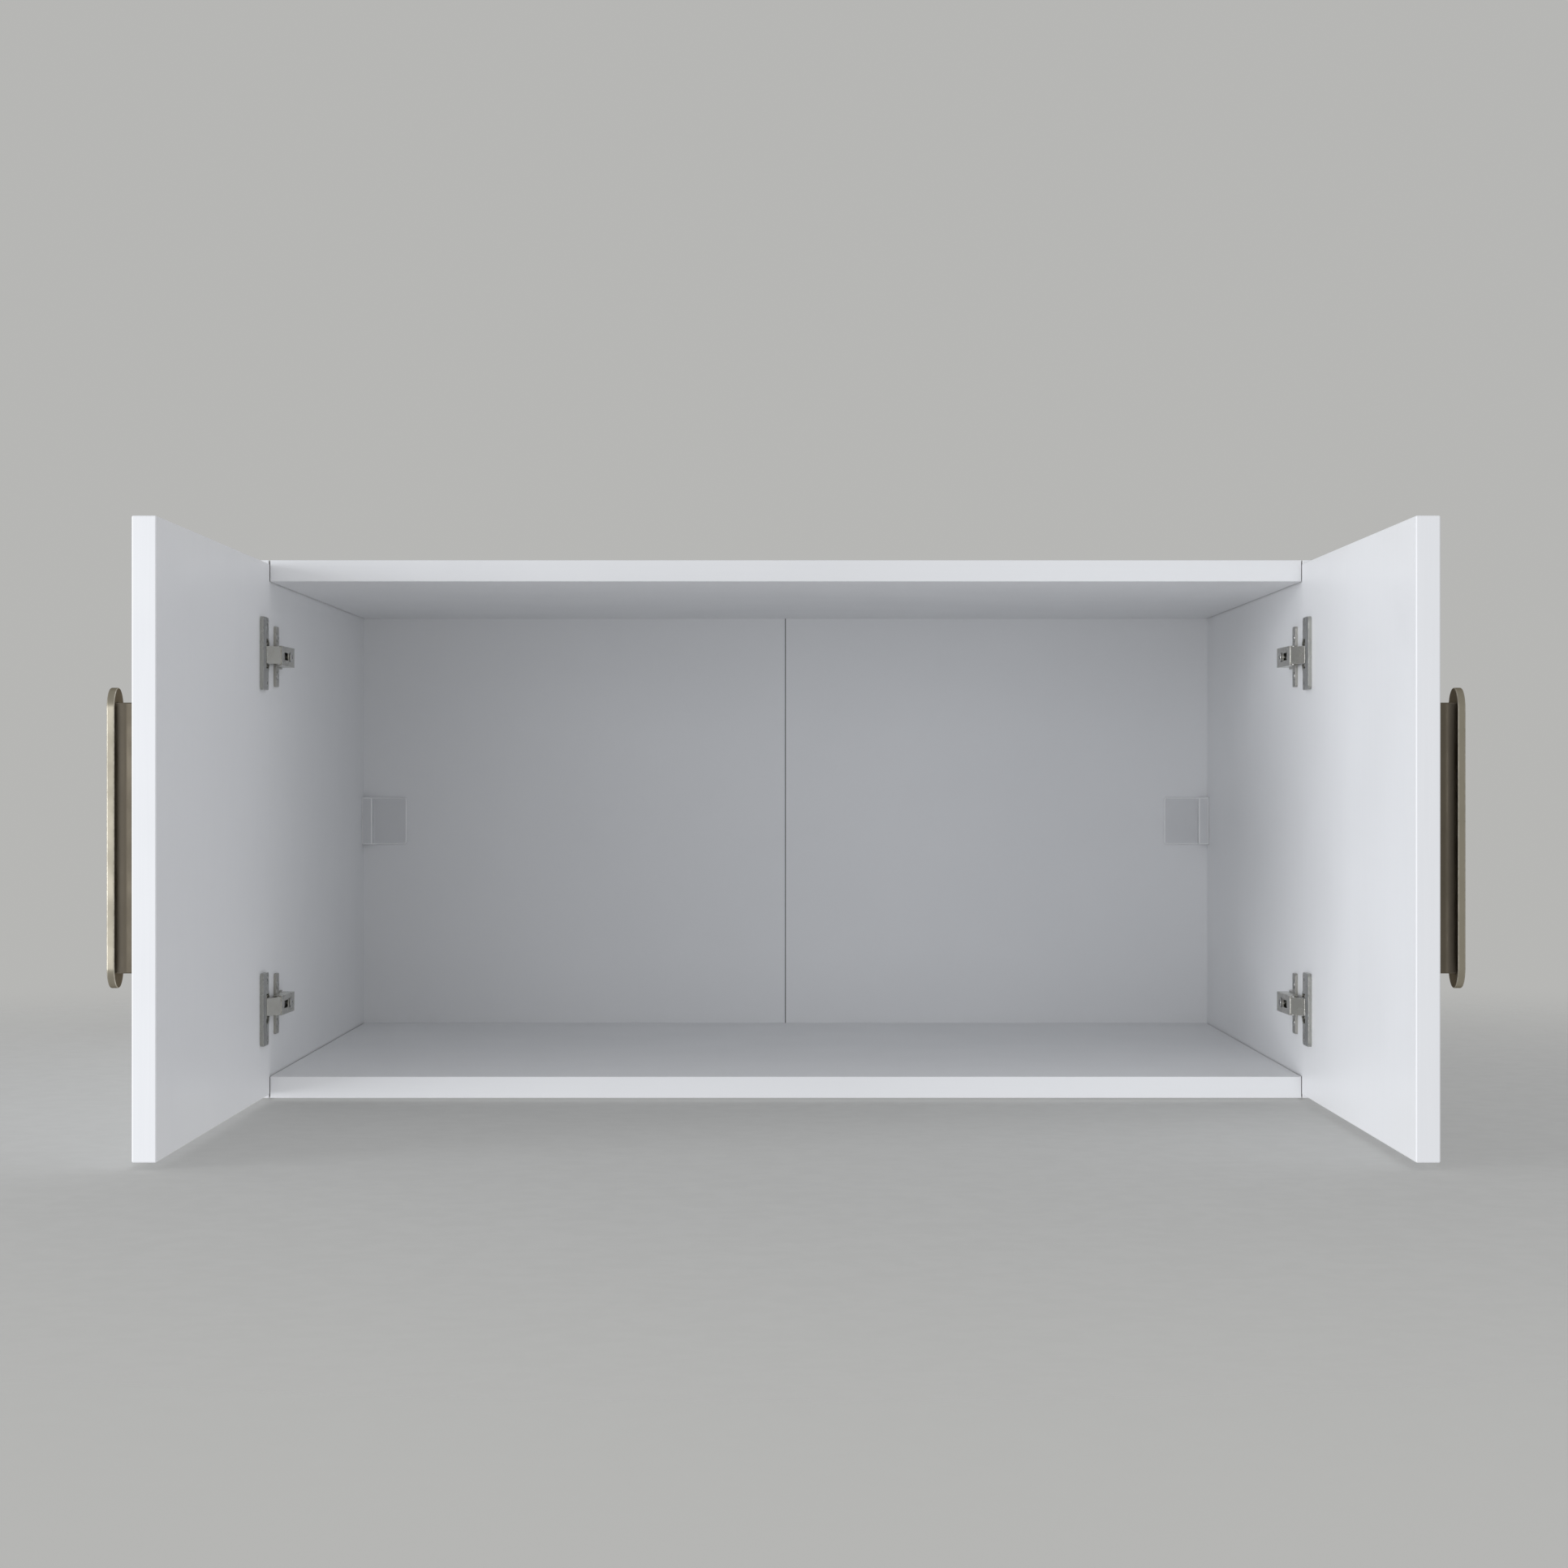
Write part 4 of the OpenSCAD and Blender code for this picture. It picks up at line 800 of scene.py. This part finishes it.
BACKDROP = (0.470, 0.470, 0.458)
AMBIENT = (0.580, 0.584, 0.597)
LAMP_WHITE = (0.955, 0.98, 1.02)
FLOOR_DROP = 1.5 * MM
FLOOR_REACH = 6.0
FLOOR_GREY = (0.66, 0.66, 0.64)
FLOOR_GREY_DEEP = (0.64, 0.64, 0.62)
FLOOR_MIDDLE = -0.5         # how far in front of the rear plane the floor's fade is centred
FADE_FROM, FADE_TO = 0.6, 1.7       # how far from there the fade starts and ends
CAMERA_PLACE = (-0.00145, -3.039, 0.0377)
LENS = 68.05                # focal length in millimetres behind a 36 mm wide picture
floor_mesh = bpy.data.meshes.new("floor")
floor_z = cad_box[0][2] - FLOOR_DROP
floor_mesh.from_pydata([(x, y, floor_z) for x, y in
                        ((-FLOOR_REACH, -FLOOR_REACH), (FLOOR_REACH, -FLOOR_REACH),
                         (FLOOR_REACH, FLOOR_REACH), (-FLOOR_REACH, FLOOR_REACH))],
                       [], [(0, 1, 2, 3)])
floor = bpy.data.objects.new("floor", floor_mesh)
bpy.context.scene.collection.objects.link(floor)
floor_paint, nodes, links, shader, place = new_finish("floor paint")
speckle = add(nodes, "ShaderNodeTexNoise", in_Scale=60.0, in_Detail=4.0)
links.new(place, speckle.inputs["Vector"])
links.new(blend_colours(nodes, links, between(nodes, links, speckle.outputs["Fac"], 0.0, 1.0),
                        FLOOR_GREY, FLOOR_GREY_DEEP), shader.inputs["Base Color"])
shader.inputs["Roughness"].default_value = 0.9
shader.inputs["Specular IOR Level"].default_value = 0.1
spread = add(nodes, "ShaderNodeVectorMath", operation="LENGTH")
centred = add(nodes, "ShaderNodeMapping")
centred.inputs["Location"].default_value = (0.0, -FLOOR_MIDDLE, -floor_z)
links.new(place, centred.inputs["Vector"])
links.new(centred.outputs[0], spread.inputs[0])
fade = add(nodes, "ShaderNodeMapRange", interpolation_type="SMOOTHSTEP")
fade.inputs["From Min"].default_value = FADE_FROM
fade.inputs["From Max"].default_value = FADE_TO
links.new(spread.outputs["Value"], fade.inputs["Value"])
clear = nodes.new("ShaderNodeBsdfTransparent")
run_out = nodes.new("ShaderNodeMixShader")
seen_by = nodes.new("ShaderNodeLightPath")
unseen = add(nodes, "ShaderNodeMath", operation="SUBTRACT")
unseen.inputs[0].default_value = 1.0
links.new(seen_by.outputs["Is Camera Ray"], unseen.inputs[1])
hidden = add(nodes, "ShaderNodeMath", operation="MAXIMUM")
links.new(fade.outputs["Result"], hidden.inputs[0])
links.new(unseen.outputs[0], hidden.inputs[1])
from_below = add(nodes, "ShaderNodeMath", operation="MAXIMUM")
links.new(hidden.outputs[0], from_below.inputs[0])
links.new(nodes.new("ShaderNodeNewGeometry").outputs["Backfacing"], from_below.inputs[1])
links.new(from_below.outputs[0], run_out.inputs["Fac"])
links.new(shader.outputs[0], run_out.inputs[1])
links.new(clear.outputs[0], run_out.inputs[2])
links.new(run_out.outputs[0], nodes["Material Output"].inputs["Surface"])
floor_mesh.materials.append(floor_paint)

world = bpy.data.worlds.new("studio")
bpy.context.scene.world = world
world.use_nodes = True
nodes, links = world.node_tree.nodes, world.node_tree.links
seen_by = nodes.new("ShaderNodeLightPath")
seen = add(nodes, "ShaderNodeMath", operation="MAXIMUM")
links.new(seen_by.outputs["Is Camera Ray"], seen.inputs[0])
links.new(seen_by.outputs["Is Glossy Ray"], seen.inputs[1])
links.new(blend_colours(nodes, links, seen.outputs[0], AMBIENT, BACKDROP),
          nodes["Background"].inputs["Color"])


def soft_lamp(name, place, aim_at, size, watts):
    """A square soft lamp that looks at a point."""
    data = bpy.data.lights.new(name, "AREA")
    data.shape = "SQUARE"
    data.size = size
    data.energy = watts
    data.color = LAMP_WHITE
    lamp = bpy.data.objects.new(name, data)
    lamp.location = place
    lamp.rotation_euler = (Vector(aim_at) - Vector(place)).to_track_quat("-Z", "Y").to_euler()
    bpy.context.scene.collection.objects.link(lamp)


soft_lamp("key lamp", place=(-4.6, -3.29, 0.05), aim_at=(0.3, -0.8, 0.0), size=2.4, watts=128.0)
soft_lamp("front lamp", place=(-1.6, -5.2, 0.2), aim_at=(0.0, -0.5, 0.0), size=2.0, watts=25.0)

lens = bpy.data.cameras.new("camera")
lens.lens = LENS
lens.sensor_width = 36.0
camera = bpy.data.objects.new("camera", lens)
camera.location = CAMERA_PLACE
camera.rotation_euler = Euler((math.pi / 2, 0.0, 0.0))
bpy.context.scene.collection.objects.link(camera)
bpy.context.scene.camera = camera
bpy.context.scene.view_settings.view_transform = "Standard"
